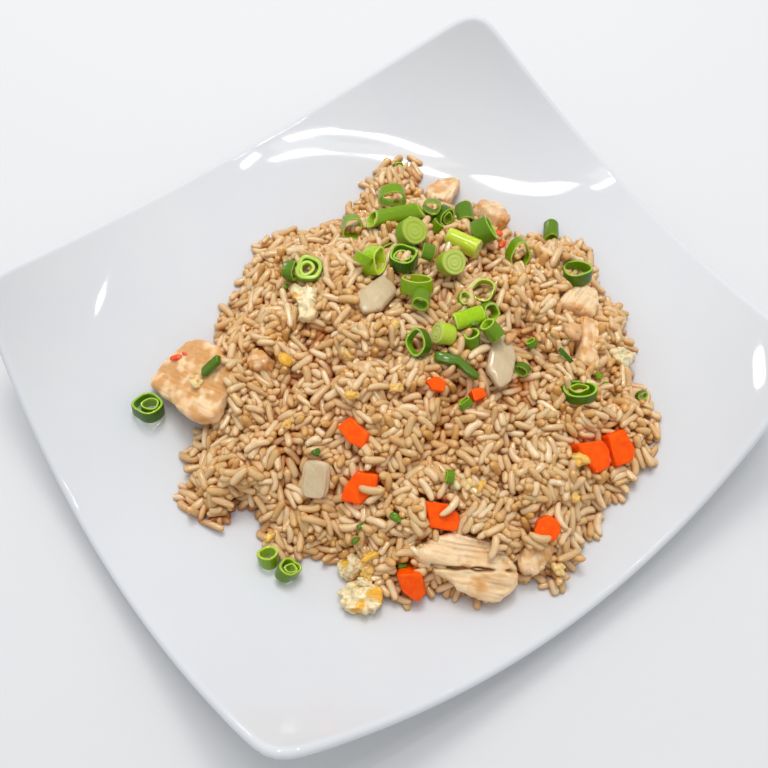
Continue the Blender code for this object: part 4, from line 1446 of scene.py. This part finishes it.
def small_slices(name, slices):
    """Thin rings of leaf from (x, y, radius, height, lean in degrees, tone)."""
    parts = []
    for number, (x, y, radius, height, lean, tone) in enumerate(slices):
        half = np.array([radius, radius * 0.8, height / 2]) * MM
        rings, cut, inside = leaf_ring(half, 0.9 * MM, 300 + number, sides=48)
        spots = rings.reshape(-1, 3)
        rng = np.random.default_rng(number)
        turn, tip = rng.uniform(0, math.tau), math.radians(lean)
        around = np.array([[math.cos(turn), -math.sin(turn), 0], [math.sin(turn), math.cos(turn), 0],
                           [0, 0, 1]])
        tilt = np.array([[1, 0, 0], [0, math.cos(tip), -math.sin(tip)],
                         [0, math.sin(tip), math.cos(tip)]])
        spots = spots @ (around @ tilt).T
        floor = resting_height(x * MM, y * MM)
        spots = spots + [x * MM, y * MM, floor - spots[:, 2].min() - 1 * MM]
        parts.append((spots, [ring_faces(*rings.shape[:2], wrap_rows=True)],
                      {"cut": np.repeat(cut, 48), "inside": np.repeat(inside, 48), "tone": tone}))
    points, faces, values = joined(parts)
    return add_piece(name, points, faces, leaf, values=values)


SMALL_SLICES = ((-17, -62, 3, 3, 80, 0.35), (6, -42, 3, 3, 60, 0.3), (54, -48, 4, 2, 70, 0.1),
                (61, 79, 3, 3, 30, 0.15), (77, -77, 2.5, 2.5, 50, 0.2), (36, -42, 3.5, 3, 70, 0.2),
                (47, -35, 2.5, 3, 50, 0.3), (36, 24, 4, 5, 75, 0.3), (9, 34, 4, 4, 60, 0.7),
                (54, 44, 4, 4, 65, 0.4), (26, 38, 3.5, 3, 40, 0.5), (32, -6, 3.2, 3, 20, 0.5),
                (51, 36, 3.5, 4, 50, 0.35))
small_rings = small_slices("small_scallion_slices", SMALL_SLICES)
print("small bits:", len(EGG_CRUMBS) + len(CHICKEN_BITS) + len(FLECKS) + len(SMALL_SLICES))

# %% Camera, light and floor
def stage_scene():
    scene = bpy.context.scene
    scene.view_settings.view_transform = "Standard"
    camera = bpy.data.objects.new("camera", bpy.data.cameras.new("camera"))
    scene.collection.objects.link(camera)
    azimuth, elevation, roll = (math.radians(angle) for angle in (-37.43, 67.04, 2.01))
    back = Vector((math.sin(azimuth) * math.cos(elevation),
                   -math.cos(azimuth) * math.cos(elevation), math.sin(elevation)))
    right = (-back).cross(Vector((0, 0, 1))).normalized()
    up = right.cross(-back)
    turned = (right * math.cos(roll) + up * math.sin(roll), up * math.cos(roll) - right * math.sin(roll),
              back)
    camera.matrix_world = (Matrix.Translation(Vector((-6.36, -3.84, 8.2)) * MM + back * 414.4 * MM)
                           @ Matrix(turned).transposed().to_4x4())
    camera.data.lens = 43.45
    camera.data.clip_start = 0.01
    scene.camera = camera

    floor_mesh = bpy.data.meshes.new("floor")
    floor_mesh.from_pydata([(-3, -3, 0), (3, -3, 0), (3, 3, 0), (-3, 3, 0)], [], [(0, 1, 2, 3)])
    floor = bpy.data.objects.new("floor", floor_mesh)
    scene.collection.objects.link(floor)
    floor_look = Look("floor", {"Roughness": 0.7, "Base Color": colour("E4E4E4")})
    floor_mesh.materials.append(floor_look.material)

    world = bpy.data.worlds.new("studio")
    world.use_nodes = True
    world.node_tree.nodes["Background"].inputs["Color"].default_value = (0.93, 0.96, 1, 1)
    world.node_tree.nodes["Background"].inputs["Strength"].default_value = 0.6
    scene.world = world

    food = bpy.data.collections.new("food")
    for piece in pieces:
        if piece.name != "porcelain_plate":
            food.objects.link(piece)
    for name, place, size, turn, power, kind in LIGHTS:
        lamp = bpy.data.lights.new(name, "AREA")
        lamp.shape = "RECTANGLE"
        lamp.size, lamp.size_y = size
        lamp.energy = power
        light = bpy.data.objects.new(name, lamp)
        scene.collection.objects.link(light)
        if turn is None:
            facing = (-Vector(place)).to_track_quat("-Z", "Y").to_matrix().to_4x4()
        else:
            facing = Matrix.Rotation(math.radians(turn), 4, "Z")
        light.matrix_world = Matrix.Translation(place) @ facing
        light.visible_glossy = kind != SOFT
        if kind == SHEEN:
            light.visible_diffuse = False
            light.light_linking.receiver_collection = food


# A soft light isn't mirrored in the glaze, a mirrored one is, and the sheen only gives the
# wet food its gleam.
SOFT, MIRRORED, SHEEN = "soft", "mirrored", "sheen"
# Name, place, size in metres, turn, power in watts and kind. A turn in degrees is for a light
# that hangs level; None turns the light to the plate.
LIGHTS = (
    ("soft_key", (0.25, 0.45, 1.25), (0.9, 0.7), None, 5, SOFT),
    ("bright_key", (0.33, 0.45, 1.17), (0.3, 0.3), None, 3.4, SOFT),
    ("food_sheen", (0.2, 0.5, 1.15), (0.2, 0.16), None, 4, SHEEN),
    ("tube_1", (-0.035, 0.028, 1.2), (0.14, 0.018), 13.5, 0.6, MIRRORED),
    ("tube_2", (0.085, 0.14, 1.2), (0.13, 0.018), 5, 0.6, MIRRORED),
    ("tube_end", (0.215, 0.1, 1.2), (0.1, 0.03), 25, 0.3, MIRRORED),
    ("lamp_housing", (0.03, 0.085, 1.21), (0.15, 0.1), 13.5, 0.08, MIRRORED),
    ("window", (0.71, -0.085, 0.9), (0.025, 0.03), None, 0.15, MIRRORED),
    ("far_window", (-0.18, 0.98, 0.42), (0.06, 0.06), None, 0.3, MIRRORED),
)
stage_scene()
print("lights:", [light[0] for light in LIGHTS])
